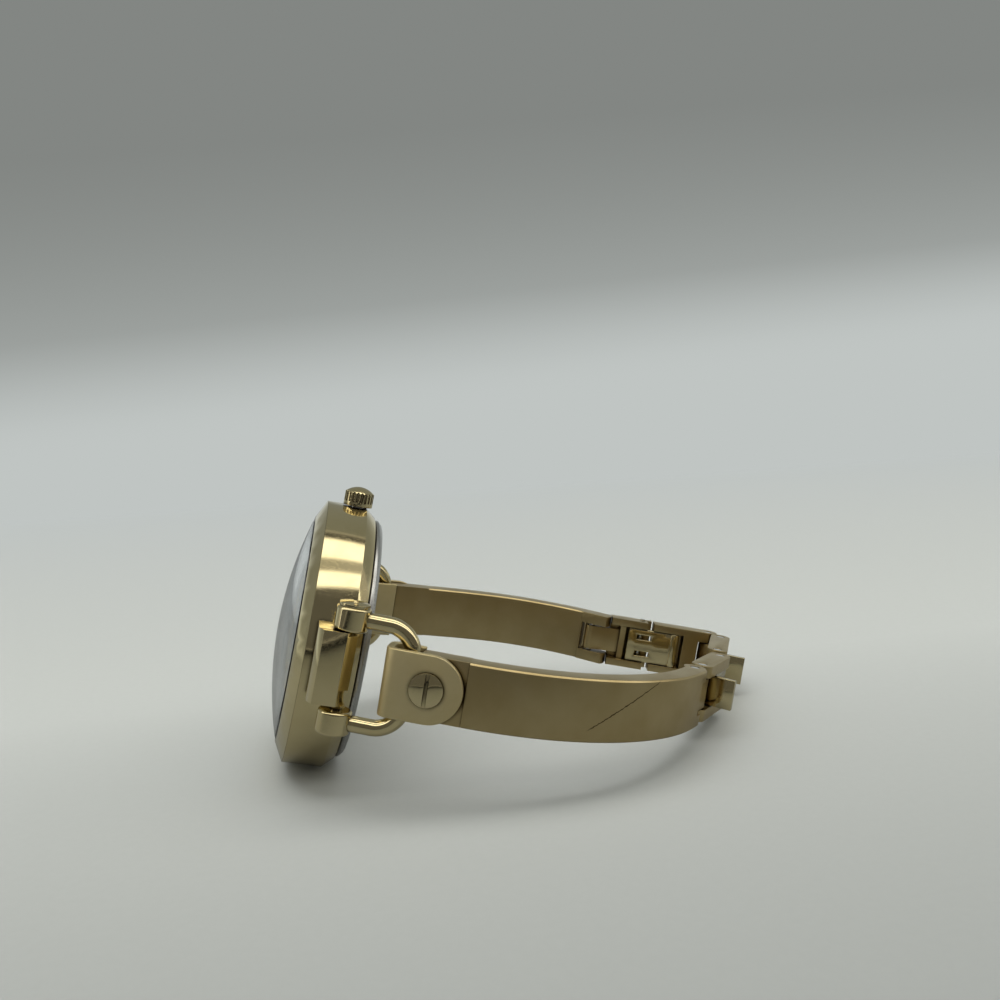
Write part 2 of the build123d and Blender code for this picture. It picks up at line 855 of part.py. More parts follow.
# Case back with its spigot, outer groove and gasket
flange_front = bevel_rearward + back_gasket_height
back_inner = back_rearward - back_plate
back_radius = bevel_radius - back_radius_inset
back_groove_radius = back_radius - back_groove_inset
back_spigot_radius = bore_radius - holder_wall_gap
back_spigot_bore = back_spigot_radius - back_spigot_wall
with BuildPart() as case_back:
    revolve(
        turned_outline(
            (back_inner, 0),
            (back_inner, back_spigot_bore),
            (-movement_rear + back_spigot_gap, back_spigot_bore),
            (-movement_rear + back_spigot_gap, back_spigot_radius),
            (flange_front, back_spigot_radius),
            (flange_front, back_radius),
            (back_rearward - back_edge_break, back_radius),
            (back_rearward, back_radius - back_edge_break),
            (back_rearward, 0),
        ),
        axis=case_axis,
    )
    revolve(
        turned_outline(
            (back_rearward - back_groove_depth, back_groove_radius),
            (back_rearward - back_groove_depth, back_groove_radius + back_groove_width),
            (back_rearward + overrun, back_groove_radius + back_groove_width),
            (back_rearward + overrun, back_groove_radius),
        ),
        axis=case_axis,
        mode=Mode.SUBTRACT,
    )
case_back.part.label = "case_back"
export_step(case_back.part, "parts/case_back.step")

with BuildPart() as case_back_gasket:
    revolve(
        turned_outline(
            (bevel_rearward, bore_radius),
            (flange_front, bore_radius),
            (flange_front, bore_radius + back_gasket_width),
            (bevel_rearward, bore_radius + back_gasket_width),
        ),
        axis=case_axis,
    )
case_back_gasket.part.label = "case_back_gasket"
export_step(case_back_gasket.part, "parts/case_back_gasket.step")

# Shackles with their slotted screws, tabs with theirs, and the arms, at 6 and at 12 o'clock


def slotted_screw(plane, radius, head_radius, head_height, head_dome, length):
    """A domed, slotted screw: its head stands on the plane and its shank runs down through it."""
    side_plane = Plane(origin=plane.origin, x_dir=plane.x_dir, z_dir=-plane.y_dir)
    with BuildPart() as screw:
        with BuildSketch(side_plane):
            with BuildLine():
                RadiusArc(
                    (head_radius, head_height),
                    (0, head_height + head_dome),
                    -dome_curve(head_radius, head_dome),
                )
                Polyline(
                    (0, head_height + head_dome),
                    (0, -length),
                    (radius, -length),
                    (radius, 0),
                    (head_radius, 0),
                    (head_radius, head_height),
                )
            make_face()
        revolve(axis=Axis(plane.origin, plane.z_dir))
        with BuildSketch(plane.offset(head_height + head_dome - slot_depth)):
            Rectangle(2 * head_radius + overrun, slot_width)
        extrude(amount=overrun, mode=Mode.SUBTRACT)
    return screw


slot_outline_height = root_thickness + 2 * seat_clearance
strap_middle = slot_outline_height / 2 + tab_strap / 2
tab_outer = slot_outline_height / 2 + tab_strap
tab_screw_place = tab_screw_from_fold - tab_fold_reach
root_start = bow_radius + root_gap
for side, hour in hours.items():
    pin_place = (pin_rearward, side * pin_aside, side * shackle_angles[side])
    bow_plane = upright_plane(plan, pin_place, eye_shift)
    with BuildPart() as shackle:
        for eye_middle in (-eye_spread, eye_spread):
            with BuildSketch(plan.offset(eye_shift + eye_middle - eye_height / 2)):
                with Locations((pin_rearward, side * pin_aside)):
                    Circle(eye_radius)
            extrude(amount=eye_height)
        fillet(shackle.edges().filter_by(GeomType.CIRCLE), eye_edge)
        with BuildLine(bow_plane) as bow:
            FilletPolyline(
                (0, eye_spread),
                (bow_reach, eye_spread),
                (bow_reach, -eye_spread),
                (0, -eye_spread),
                radius=bow_bend,
            )
        with BuildSketch(Plane(origin=bow.line @ 0, z_dir=bow.line % 0)):
            Circle(bow_radius)
        sweep()
        shank_hole = disc_outline(plan, (pin_rearward, side * pin_aside), lug_screw_radius + seat_clearance)
        extrude(shank_hole, amount=case_radius, both=True, mode=Mode.SUBTRACT)
    shackle.part.label = f"shackle_{hour}"
    export_step(shackle.part, f"parts/shackle_{hour}.step")

    eye_top = eye_shift + eye_spread + eye_height / 2
    eye_bottom = eye_shift - eye_spread - eye_height / 2
    head_plane = Plane(
        origin=plan.from_local_coords(Vector(pin_rearward, side * pin_aside, eye_top)),
        x_dir=twelve,
        z_dir=crown_way,
    )
    shank_length = eye_top - eye_bottom - lug_screw_tip_inset
    lug_screw = slotted_screw(
        head_plane, lug_screw_radius, lug_head_radius, lug_head_height, lug_head_dome, shank_length
    )
    lug_screw.part.label = f"lug_screw_{hour}"
    export_step(lug_screw.part, f"parts/lug_screw_{hour}.step")

    arm_plane = band_plane(bars[side], side)
    with BuildPart() as tab:
        with BuildSketch(arm_plane):
            with BuildLine():
                FilletPolyline(
                    (tab_tip, strap_middle),
                    (tab_strap / 2 - tab_fold_reach, strap_middle),
                    (tab_strap / 2 - tab_fold_reach, -strap_middle),
                    (tab_inner_reach, -strap_middle),
                    radius=tab_fold_radius,
                )
            trace(line_width=tab_strap)
        extrude(amount=tab_width / 2, both=True)
        with BuildSketch(upright_plane(band_plan, bars[side])):
            with Locations((tab_tip - tab_width / 2, 0)):
                Circle(tab_width / 2)
            with Locations((tab_tip - tab_width / 2, 0)):
                Rectangle(tab_length, tab_width, align=(Align.MAX, Align.CENTER))
        extrude(amount=tab_width, both=True, mode=Mode.INTERSECT)
        screw_plane = Plane(
            origin=arm_plane.from_local_coords(Vector(tab_screw_place, tab_outer, 0)),
            x_dir=band_crown,
            z_dir=arm_plane.y_dir,
        )
        with BuildSketch(screw_plane):
            Circle(tab_screw_radius + seat_clearance)
        extrude(amount=-2 * tab_strap, mode=Mode.SUBTRACT)
    tab.part.label = f"tab_{hour}"
    export_step(tab.part, f"parts/tab_{hour}.step")

    tab_screw = slotted_screw(
        screw_plane,
        tab_screw_radius,
        tab_head_radius,
        tab_head_height,
        tab_head_dome,
        tab_outer + root_thickness / 2 - tab_screw_skin,
    )
    tab_screw.part.label = f"tab_screw_{hour}"
    export_step(tab_screw.part, f"parts/tab_screw_{hour}.step")

# Arms: a straight root under the tab, a soft bend, then the round of the wrist
band_half = band_thickness / 2
knuckle_bore = hinge_pin_radius + running_clearance
shoulder_place = tab_tip + shoulder_gap
slot_start = tongue_radius + tongue_slot_gap
flush_start = tab_inner_reach + shoulder_gap
screw_hole_floor = tab_screw_skin - root_thickness / 2 - seat_clearance
for side, hour in hours.items():
    arm_plane = band_plane(bars[side], side)
    end_plane = band_plane(arm_ends[side], side)
    with BuildPart() as arm:
        with BuildSketch(arm_plane):
            with BuildLine():
                straight = Line((shoulder_place, 0), (tab_tip + root_gap, 0))
                soft = JernArc(straight @ 1, straight % 1, soft_radii[side], -soft_angles[side])
                JernArc(soft @ 1, soft % 1, round_radii[side], -round_angles[side])
            trace(line_width=band_thickness)
        extrude(amount=band_width / 2, both=True)
        flanks = arm.faces().filter_by(band_upward)
        rims = flanks.edges().filter_by(lambda edge: edge.length > band_thickness + edge_break)
        chamfer(rims, edge_break)
        with BuildSketch(arm_plane):
            with Locations(((root_start + shoulder_place) / 2, 0)):
                Rectangle(shoulder_place - root_start, root_thickness)
            with Locations((shoulder_place, -band_half)):
                Rectangle(shoulder_place - flush_start, band_half, align=(Align.MAX, Align.MIN))
        extrude(amount=band_width / 2, both=True)
        screw_plane = Plane(
            origin=arm_plane.from_local_coords(Vector(tab_screw_place, screw_hole_floor, 0)),
            x_dir=band_crown,
            z_dir=arm_plane.y_dir,
        )
        with BuildSketch(screw_plane):
            Circle(tab_screw_radius + seat_clearance)
        extrude(amount=2 * root_thickness, mode=Mode.SUBTRACT)
        if side < 0:
            with BuildSketch(end_plane):
                Circle(band_half)
            extrude(amount=band_width / 2, both=True)
            with BuildSketch(end_plane):
                Circle(knuckle_bore)
            extrude(amount=band_width, both=True, mode=Mode.SUBTRACT)
            with BuildSketch(end_plane):
                with Locations((-slot_start, 0)):
                    Rectangle(3 * slot_start, 2 * band_thickness, align=(Align.MIN, Align.CENTER))
            extrude(amount=tongue_slot_width / 2, both=True, mode=Mode.SUBTRACT)
        else:
            bar_place = (0, -bar_inward)
            with BuildSketch(end_plane):
                with Locations(bar_place):
                    Circle(arm_end_radius)
                Rectangle(2 * arm_end_radius + overrun, band_thickness, mode=Mode.INTERSECT)
                with Locations((-arm_end_radius, 0)):
                    Rectangle(arm_end_radius, band_thickness, mode=Mode.SUBTRACT)
            extrude(amount=band_width / 2, both=True)
            with BuildSketch(end_plane):
                with Locations(bar_place):
                    Circle(bar_radius + seat_clearance)
            extrude(amount=band_width / 2 - clasp_wall, both=True, mode=Mode.SUBTRACT)
            with BuildSketch(end_plane):
                with Locations((-window_before_bar, band_half - window_skin)):
                    Rectangle(band_thickness * 2, band_thickness * 2, align=(Align.MIN, Align.MAX))
                with Locations((-bar_eye_radius - eye_swing_gap, 0)):
                    Rectangle(band_thickness * 2, band_thickness * 2, align=(Align.MIN, Align.CENTER))
            extrude(amount=tongue_slot_width / 2, both=True, mode=Mode.SUBTRACT)
    arm.part.label = f"arm_{hour}"
    export_step(arm.part, f"parts/arm_{hour}.step")

with BuildPart() as clasp_bar:
    with BuildSketch(band_plane(arm_ends[1], 1)):
        with Locations((0, -bar_inward)):
            Circle(bar_radius)
    extrude(amount=band_width / 2 - clasp_wall, both=True)
clasp_bar.part.label = "clasp_bar"
export_step(clasp_bar.part, "parts/clasp_bar.step")


def knuckled_link(place, length):
    """A flat link with a round, slotted knuckle at each end; the place is its first pin."""
    plane = band_plane(place)
    with BuildPart() as link:
        with BuildSketch(plane):
            with Locations((length / 2, 0)):
                SlotCenterToCenter(length, band_thickness)
            for pin_along in (0, length):
                with Locations((pin_along, 0)):
                    Circle(knuckle_bore, mode=Mode.SUBTRACT)
        extrude(amount=band_width / 2, both=True)
        with BuildSketch(plane):
            with Locations((slot_start, 0)):
                Rectangle(3 * slot_start, 2 * band_thickness, align=(Align.MAX, Align.CENTER))
            with Locations((length - slot_start, 0)):
                Rectangle(3 * slot_start, 2 * band_thickness, align=(Align.MIN, Align.CENTER))
        extrude(amount=tongue_slot_width / 2, both=True, mode=Mode.SUBTRACT)
    return link


# The two links have recesses, in which the wings of the lip plate lie
lip_plate_top = lip_plate_outward + lip_plate_thickness
recess_floor = lip_plate_outward - tongue_slot_gap
link_6_recess = plate_outline(
    band_plane(link_start),
    (link_length - near_lip_reach - 2 * lip_thickness, recess_floor),
    (link_length + band_thickness, recess_floor),
    (link_length + band_thickness, band_thickness),
    (link_length - near_lip_reach - 2 * lip_thickness, band_thickness),
)
link_6 = knuckled_link(link_start, link_length)
with link_6:
    extrude(link_6_recess, amount=tongue_slot_width / 2, both=True, mode=Mode.SUBTRACT)
link_6.part.label = "link_6"
export_step(link_6.part, "parts/link_6.step")
end_link_recess = plate_outline(
    band_plane(end_link_start),
    (-band_thickness, recess_floor),
    (far_lip_reach + 2 * lip_thickness, recess_floor),
    (far_lip_reach + 2 * lip_thickness, band_thickness),
    (-band_thickness, band_thickness),
)
end_link = knuckled_link(end_link_start, end_link_length)
with end_link:
    extrude(end_link_recess, amount=tongue_slot_width / 2, both=True, mode=Mode.SUBTRACT)
end_link.part.label = "end_link"
export_step(end_link.part, "parts/end_link.step")

with BuildPart() as lip_plate:
    with BuildSketch(band_plane(middle_hinge)):
        with Locations((middle_hinge_pitch / 2, 0)):
            SlotCenterToCenter(middle_hinge_pitch, 2 * tongue_radius)
    extrude(amount=tongue_width / 2, both=True)
    for wing_pin, wing_heading, wing_reach in (
        (middle_hinge, link_heading, -near_lip_reach),
        (end_link_start, end_link_heading, far_lip_reach),
    ):
        lip_inner = wing_reach - lip_thickness if wing_reach > 0 else wing_reach + lip_thickness
        with BuildSketch(band_plane(facing(wing_pin, wing_heading))):
            with BuildLine():
                Polyline(
                    (0, lip_plate_outward),
                    (wing_reach, lip_plate_outward),
                    (wing_reach, lip_height),
                    (lip_inner, lip_height),
                    (lip_inner, lip_plate_top),
                    (0, lip_plate_top),
                    close=True,
                )
            make_face()
        extrude(amount=tongue_width / 2, both=True)
    with BuildSketch(band_plane(middle_hinge)):
        for pin_along in (0, middle_hinge_pitch):
            with Locations((pin_along, 0)):
                Circle(hinge_pin_radius)
    extrude(amount=band_width, both=True, mode=Mode.SUBTRACT)
lip_plate.part.label = "lip_plate"
export_step(lip_plate.part, "parts/lip_plate.step")

# The connectors of the two other hinges, and the pins of all three
hinges = {
    "near": (near_hinge, near_hinge_pitch),
    "middle": (middle_hinge, middle_hinge_pitch),
    "far": (far_hinge, far_hinge_pitch),
}
for name in ("near", "far"):
    place, pitch = hinges[name]
    with BuildPart() as connector:
        with BuildSketch(band_plane(place)):
            with Locations((pitch / 2, 0)):
                SlotCenterToCenter(pitch, 2 * tongue_radius)
            for pin_along in (0, pitch):
                with Locations((pin_along, 0)):
                    Circle(hinge_pin_radius, mode=Mode.SUBTRACT)
        extrude(amount=tongue_width / 2, both=True)
    connector.part.label = f"connector_{name}"
    export_step(connector.part, f"parts/connector_{name}.step")

for name, (place, pitch) in hinges.items():
    with BuildPart() as hinge_pins:
        with BuildSketch(band_plane(place)):
            for pin_along in (0, pitch):
                with Locations((pin_along, 0)):
                    Circle(hinge_pin_radius)
        extrude(amount=band_width / 2 - pin_end_inset, both=True)
    hinge_pins.part.label = f"hinge_pins_{name}"
    export_step(hinge_pins.part, f"parts/hinge_pins_{name}.step")

# Clasp base: a round knuckle and a block at the corner, then a channel open towards the wrist
clasp_plane = band_plane(clasp_start)
channel_floor = band_half - clasp_wall
channel_half = leaf_width / 2 + leaf_side_gap
leaf_pin_place = (leaf_pin_reach, -leaf_pin_inward)
with BuildPart() as clasp_base:
    with BuildSketch(clasp_plane):
        Circle(band_half)
        Rectangle(base_reach, band_thickness, align=(Align.MIN, Align.CENTER))
        Circle(knuckle_bore, mode=Mode.SUBTRACT)
    extrude(amount=band_width / 2, both=True)
    with BuildSketch(clasp_plane):
        with Locations((slot_start, 0)):
            Rectangle(3 * slot_start, 2 * band_thickness, align=(Align.MAX, Align.CENTER))
    extrude(amount=tongue_slot_width / 2, both=True, mode=Mode.SUBTRACT)
    with BuildSketch(clasp_plane):
        with Locations((base_block, channel_floor)):
            Rectangle(base_reach, 2 * band_thickness, align=(Align.MIN, Align.MAX))
    extrude(amount=channel_half, both=True, mode=Mode.SUBTRACT)
    with BuildSketch(clasp_plane):
        with Locations(leaf_pin_place):
            Circle(leaf_pin_radius)
    extrude(amount=band_width / 2 - pin_end_inset, both=True, mode=Mode.SUBTRACT)
clasp_base.part.label = "clasp_base"
export_step(clasp_base.part, "parts/clasp_base.step")

with BuildPart() as leaf_pin:
    with BuildSketch(clasp_plane):
        with Locations(leaf_pin_place):
            Circle(leaf_pin_radius)
    extrude(amount=band_width / 2 - pin_end_inset, both=True)
leaf_pin.part.label = "leaf_pin"
export_step(leaf_pin.part, "parts/leaf_pin.step")

# Latch leaf: a plate on its pin, with two slots, and a hooked end that catches the cover's cross lip
cover_start = clasp_length - arm_end_radius - cover_start_gap
cover_end = base_reach + cover_gap
cross_lip_place = clasp_length - cover_lip_reach
leaf_end = cross_lip_place - cover_lip_thickness / 2 - leaf_end_gap
leaf_inner = -leaf_pin_inward - leaf_thickness / 2
leaf_outer = leaf_inner + leaf_thickness
with BuildPart() as latch_leaf:
    with BuildSketch(clasp_plane):
        with Locations((leaf_pin_reach, -leaf_pin_inward)):
            Circle(leaf_knuckle_radius)
        with BuildLine():
            Polyline(
                (leaf_pin_reach, leaf_inner),
                (leaf_end, leaf_inner),
                (leaf_end, leaf_outer + leaf_hook_height),
                (leaf_end - leaf_thickness, leaf_outer + leaf_hook_height),
                (leaf_end - leaf_thickness, leaf_outer),
                (leaf_pin_reach, leaf_outer),
                close=True,
            )
        make_face()
        with Locations(leaf_pin_place):
            Circle(leaf_pin_radius + running_clearance, mode=Mode.SUBTRACT)
    extrude(amount=leaf_width / 2, both=True)
    leaf_face = Plane(
        origin=clasp_plane.from_local_coords(Vector(leaf_end - leaf_slot_inset - leaf_slot_length / 2, 0, 0)),
        x_dir=clasp_plane.x_dir,
        z_dir=-clasp_plane.y_dir,
    )
    with BuildSketch(leaf_face):
        with GridLocations(leaf_slot_length, 2 * leaf_slot_spread, 1, 2):
            Rectangle(leaf_slot_length, leaf_slot_width)
    extrude(amount=band_thickness, mode=Mode.SUBTRACT)
latch_leaf.part.label = "latch_leaf"
export_step(latch_leaf.part, "parts/latch_leaf.step")

# Clasp cover: a channel with a nail lip, a cross lip, and a tongue that turns on the bar
snap_pin_place = (cover_end + snap_pin_inset, channel_floor - snap_pin_radius)
with BuildPart() as clasp_cover:
    with BuildSketch(clasp_plane):
        with Locations(((cover_start + cover_end) / 2, 0)):
            Rectangle(cover_start - cover_end, band_thickness)
    extrude(amount=band_width / 2, both=True)
    with BuildSketch(clasp_plane):
        with Locations((cover_start + overrun, channel_floor)):
            Rectangle(clasp_length, 2 * band_thickness, align=(Align.MAX, Align.MAX))
    extrude(amount=channel_half, both=True, mode=Mode.SUBTRACT)
    with BuildSketch(clasp_plane):
        with BuildLine():
            Polyline(
                (cover_end, channel_floor),
                (cover_end - cover_wing, channel_floor),
                (cover_end - cover_wing, band_half + cover_nail_lip),
                (cover_end, band_half),
                close=True,
            )
        make_face()
    extrude(amount=band_width / 2, both=True)
    with BuildSketch(clasp_plane):
        with Locations((cross_lip_place, band_half)):
            Rectangle(cover_lip_thickness, cover_lip_depth, align=(Align.CENTER, Align.MAX))
    extrude(amount=channel_half, both=True)
    with BuildSketch(clasp_plane):
        with Locations((clasp_length, 0)):
            Circle(bar_eye_radius)
        with BuildLine():
            Polyline(
                (cross_lip_place, channel_floor),
                (cross_lip_place, channel_floor - clasp_wall),
                (clasp_length - arm_end_radius, -bar_eye_radius / 2),
                (clasp_length, -bar_eye_radius),
                (clasp_length, bar_eye_radius),
                (cover_start, channel_floor + clasp_wall / 2),
                (cross_lip_place, channel_floor + clasp_wall / 2),
                close=True,
            )
        make_face()
        with Locations((clasp_length, 0)):
            Circle(bar_radius + running_clearance, mode=Mode.SUBTRACT)
    extrude(amount=cover_tongue_width / 2, both=True)
    with BuildSketch(clasp_plane):
        with Locations(snap_pin_place):
            Circle(snap_pin_radius)
    extrude(amount=band_width, both=True, mode=Mode.SUBTRACT)
clasp_cover.part.label = "clasp_cover"
export_step(clasp_cover.part, "parts/clasp_cover.step")

with BuildPart() as snap_pin:
    with BuildSketch(clasp_plane):
        with Locations(snap_pin_place):
            Circle(snap_pin_radius)
    extrude(amount=band_width / 2 + snap_pin_proud, both=True)
snap_pin.part.label = "snap_pin"
export_step(snap_pin.part, "parts/snap_pin.step")
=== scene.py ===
import json
import math

import bmesh
import bpy
from mathutils import Matrix, Vector


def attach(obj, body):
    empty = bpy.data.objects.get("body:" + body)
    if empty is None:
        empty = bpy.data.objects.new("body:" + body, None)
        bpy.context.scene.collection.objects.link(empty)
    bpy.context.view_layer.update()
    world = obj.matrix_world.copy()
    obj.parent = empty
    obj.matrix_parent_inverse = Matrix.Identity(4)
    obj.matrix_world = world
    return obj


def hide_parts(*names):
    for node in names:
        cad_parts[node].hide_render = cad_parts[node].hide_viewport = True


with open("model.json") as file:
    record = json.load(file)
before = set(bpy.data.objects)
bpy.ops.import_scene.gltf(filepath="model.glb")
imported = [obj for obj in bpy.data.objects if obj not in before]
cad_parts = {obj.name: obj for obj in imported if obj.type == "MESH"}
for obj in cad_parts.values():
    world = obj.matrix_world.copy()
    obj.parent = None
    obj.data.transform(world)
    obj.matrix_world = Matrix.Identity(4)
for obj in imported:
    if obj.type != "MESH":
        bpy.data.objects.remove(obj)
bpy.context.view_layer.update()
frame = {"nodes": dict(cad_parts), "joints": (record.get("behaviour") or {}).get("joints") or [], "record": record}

bl_info = {
    "name": "Bangle Watch Dresser",
    "version": (1, 0, 0),
    "blender": (4, 5, 0),
    "location": "View3D > Sidebar > Watch",
    "description": "Gives the bangle watch its metals, glass and softened edges, and sets its studio",
    "category": "Object",
}

MM = 0.001

# Where the frame puts the pieces: each joint by name, and each node's body
JOINTS = {joint["name"]: joint for joint in frame["joints"]}
BODIES = frame["record"]["behaviour"]["bodies"]
BODY_OF = {node: body for body, nodes in BODIES.items() for node in nodes}

# The case's lean out of the upright, which the grain of each finish follows
CROWN_WAY = Vector(JOINTS["crown_turn"]["axis"])
LEAN = math.atan2(CROWN_WAY.x, CROWN_WAY.z)

# The bangle's axes, about which the case hangs a little askew, and the middle of its open side
TWELVE = Vector((0.0, 1.0, 0.0))
BAND_CROWN = Vector(JOINTS["near_hinge_arm"]["axis"])
BAND_REAR = TWELVE.cross(BAND_CROWN)
SHACKLE_FROM_MIDDLE = (8.855, -21.495, -0.35)


def band_way(x, y, z):
    """A direction or offset in the bangle's axes, turned into the scene's."""
    return BAND_REAR * x + TWELVE * y + BAND_CROWN * z


def band_place(x, y, z):
    """A place in millimetres from the middle of the bangle's open side, in the bangle's axes."""
    middle = Vector(JOINTS["arm_6_swing"]["pos_m"]) - band_way(*SHACKLE_FROM_MIDDLE) * MM
    return middle + band_way(x, y, z) * MM


def linear(hex_colour):
    """An sRGB hex colour as linear red, green, blue and one."""
    channels = [int(hex_colour[i : i + 2], 16) / 255 for i in (0, 2, 4)]
    return tuple([c / 12.92 if c <= 0.04045 else ((c + 0.055) / 1.055) ** 2.4 for c in channels] + [1.0])


def add_node(tree, kind, inputs=None, **settings):
    """Adds one shader node with its settings; an input is a value or another node's output."""
    node = tree.nodes.new(kind)
    for name, value in settings.items():
        setattr(node, name, value)
    for name, value in (inputs or {}).items():
        if isinstance(value, bpy.types.NodeSocket):
            tree.links.new(value, node.inputs[name])
        else:
            node.inputs[name].default_value = value
    return node


def carried(value, low, high, start, end):
    """A Map Range's inputs: the value is carried from the span low to high onto the span start to end."""
    return {"Value": value, "From Min": low, "From Max": high, "To Min": start, "To Max": end}


def new_material(name):
    """An empty material with its node tree and output."""
    material = bpy.data.materials.new(name)
    material.use_nodes = True
    tree = material.node_tree
    tree.nodes.clear()
    return material, tree, tree.nodes.new("ShaderNodeOutputMaterial")


def watch_coordinates(tree, per_mm):
    """Coordinates along the watch's axes, that count grains, lines or clouds of so many per millimetre."""
    coordinates = add_node(tree, "ShaderNodeTexCoord")
    turned = add_node(
        tree,
        "ShaderNodeMapping",
        {"Vector": coordinates.outputs["Object"], "Rotation": (0.0, -LEAN, 0.0), "Scale": (1 / MM,) * 3},
    )
    stretched = add_node(
        tree, "ShaderNodeVectorMath", {0: turned.outputs[0], 1: per_mm}, operation="MULTIPLY"
    )
    return stretched.outputs[0]


# The long scratch on the near arm: its two ends along X and Z and its width, in metres, and
# the ragged steps along it, of about 0.4 mm, per metre
ARM_SCRATCH = ((0.00155, 0.00886), (0.01224, 0.01282))
SCRATCH_WIDTH = 0.06 * MM
SCRATCH_STEPS = 2500.0


def long_scratch(tree):
    """A mask of one ragged scratch across the outer face of the arm at 6 o'clock."""
    start, end = [Vector((x, 0.0, z)) for x, z in ARM_SCRATCH]
    length = (end - start).length
    along_way = (end - start).normalized()
    across_way = Vector((-along_way.z, 0.0, along_way.x))
    coordinates = add_node(tree, "ShaderNodeTexCoord")
    place = add_node(
        tree, "ShaderNodeVectorMath", {0: coordinates.outputs["Object"], 1: start}, operation="SUBTRACT"
    )
    along, across = [
        add_node(tree, "ShaderNodeVectorMath", {0: place.outputs[0], 1: way}, operation="DOT_PRODUCT")
        for way in (along_way, across_way)
    ]
    # Thin: close to the line, which wavers by its own width
    ragged = add_node(
        tree,
        "ShaderNodeTexNoise",
        {"Vector": coordinates.outputs["Object"], "Scale": SCRATCH_STEPS, "Detail": 2.0},
    )
    waver = add_node(
        tree, "ShaderNodeMapRange", carried(ragged.outputs[0], 0.3, 0.7, -SCRATCH_WIDTH, SCRATCH_WIDTH)
    )
    off_line = add_node(
        tree, "ShaderNodeMath", {0: across.outputs["Value"], 1: waver.outputs[0]}, operation="ADD"
    )
    away = add_node(tree, "ShaderNodeMath", {0: off_line.outputs[0]}, operation="ABSOLUTE")
    thin = add_node(
        tree,
        "ShaderNodeMapRange",
        carried(away.outputs[0], SCRATCH_WIDTH * 0.5, SCRATCH_WIDTH * 1.5, 1.0, 0.0),
    )
    # Short: between its two ends, where it fades
    from_middle = add_node(
        tree, "ShaderNodeMath", {0: along.outputs["Value"], 1: length / 2}, operation="SUBTRACT"
    )
    reach = add_node(tree, "ShaderNodeMath", {0: from_middle.outputs[0]}, operation="ABSOLUTE")
    inside = add_node(
        tree, "ShaderNodeMapRange", carried(reach.outputs[0], length * 0.42, length * 0.52, 1.0, 0.0)
    )
    # Outside: on the face that looks along -Y
    outward = add_node(tree, "ShaderNodeSeparateXYZ", {0: coordinates.outputs["Normal"]})
    facing = add_node(tree, "ShaderNodeMapRange", carried(outward.outputs["Y"], -0.7, -0.5, 1.0, 0.0))
    mask = thin
    for share in (inside, facing):
        shares = {0: mask.outputs[0], 1: share.outputs[0]}
        mask = add_node(tree, "ShaderNodeMath", shares, operation="MULTIPLY")
    return mask.outputs[0]


# Wear on the plating: clouds of handling about 4.5 mm wide and hairline scratches; and how far the painted shade
# in seams and corners reaches
CLOUDS_PER_MM = 0.22
HAIRS_PER_MM = (0.9, 1.1, 2.6)
HAIR_EDGE = 0.006
HAIR_ROUGHNESS = 0.12
HAIR_DEPTH = 0.004 * MM
PAINTED_SHADE_REACH = 0.6 * MM
PAINTED_SHADE_SAMPLES = 8


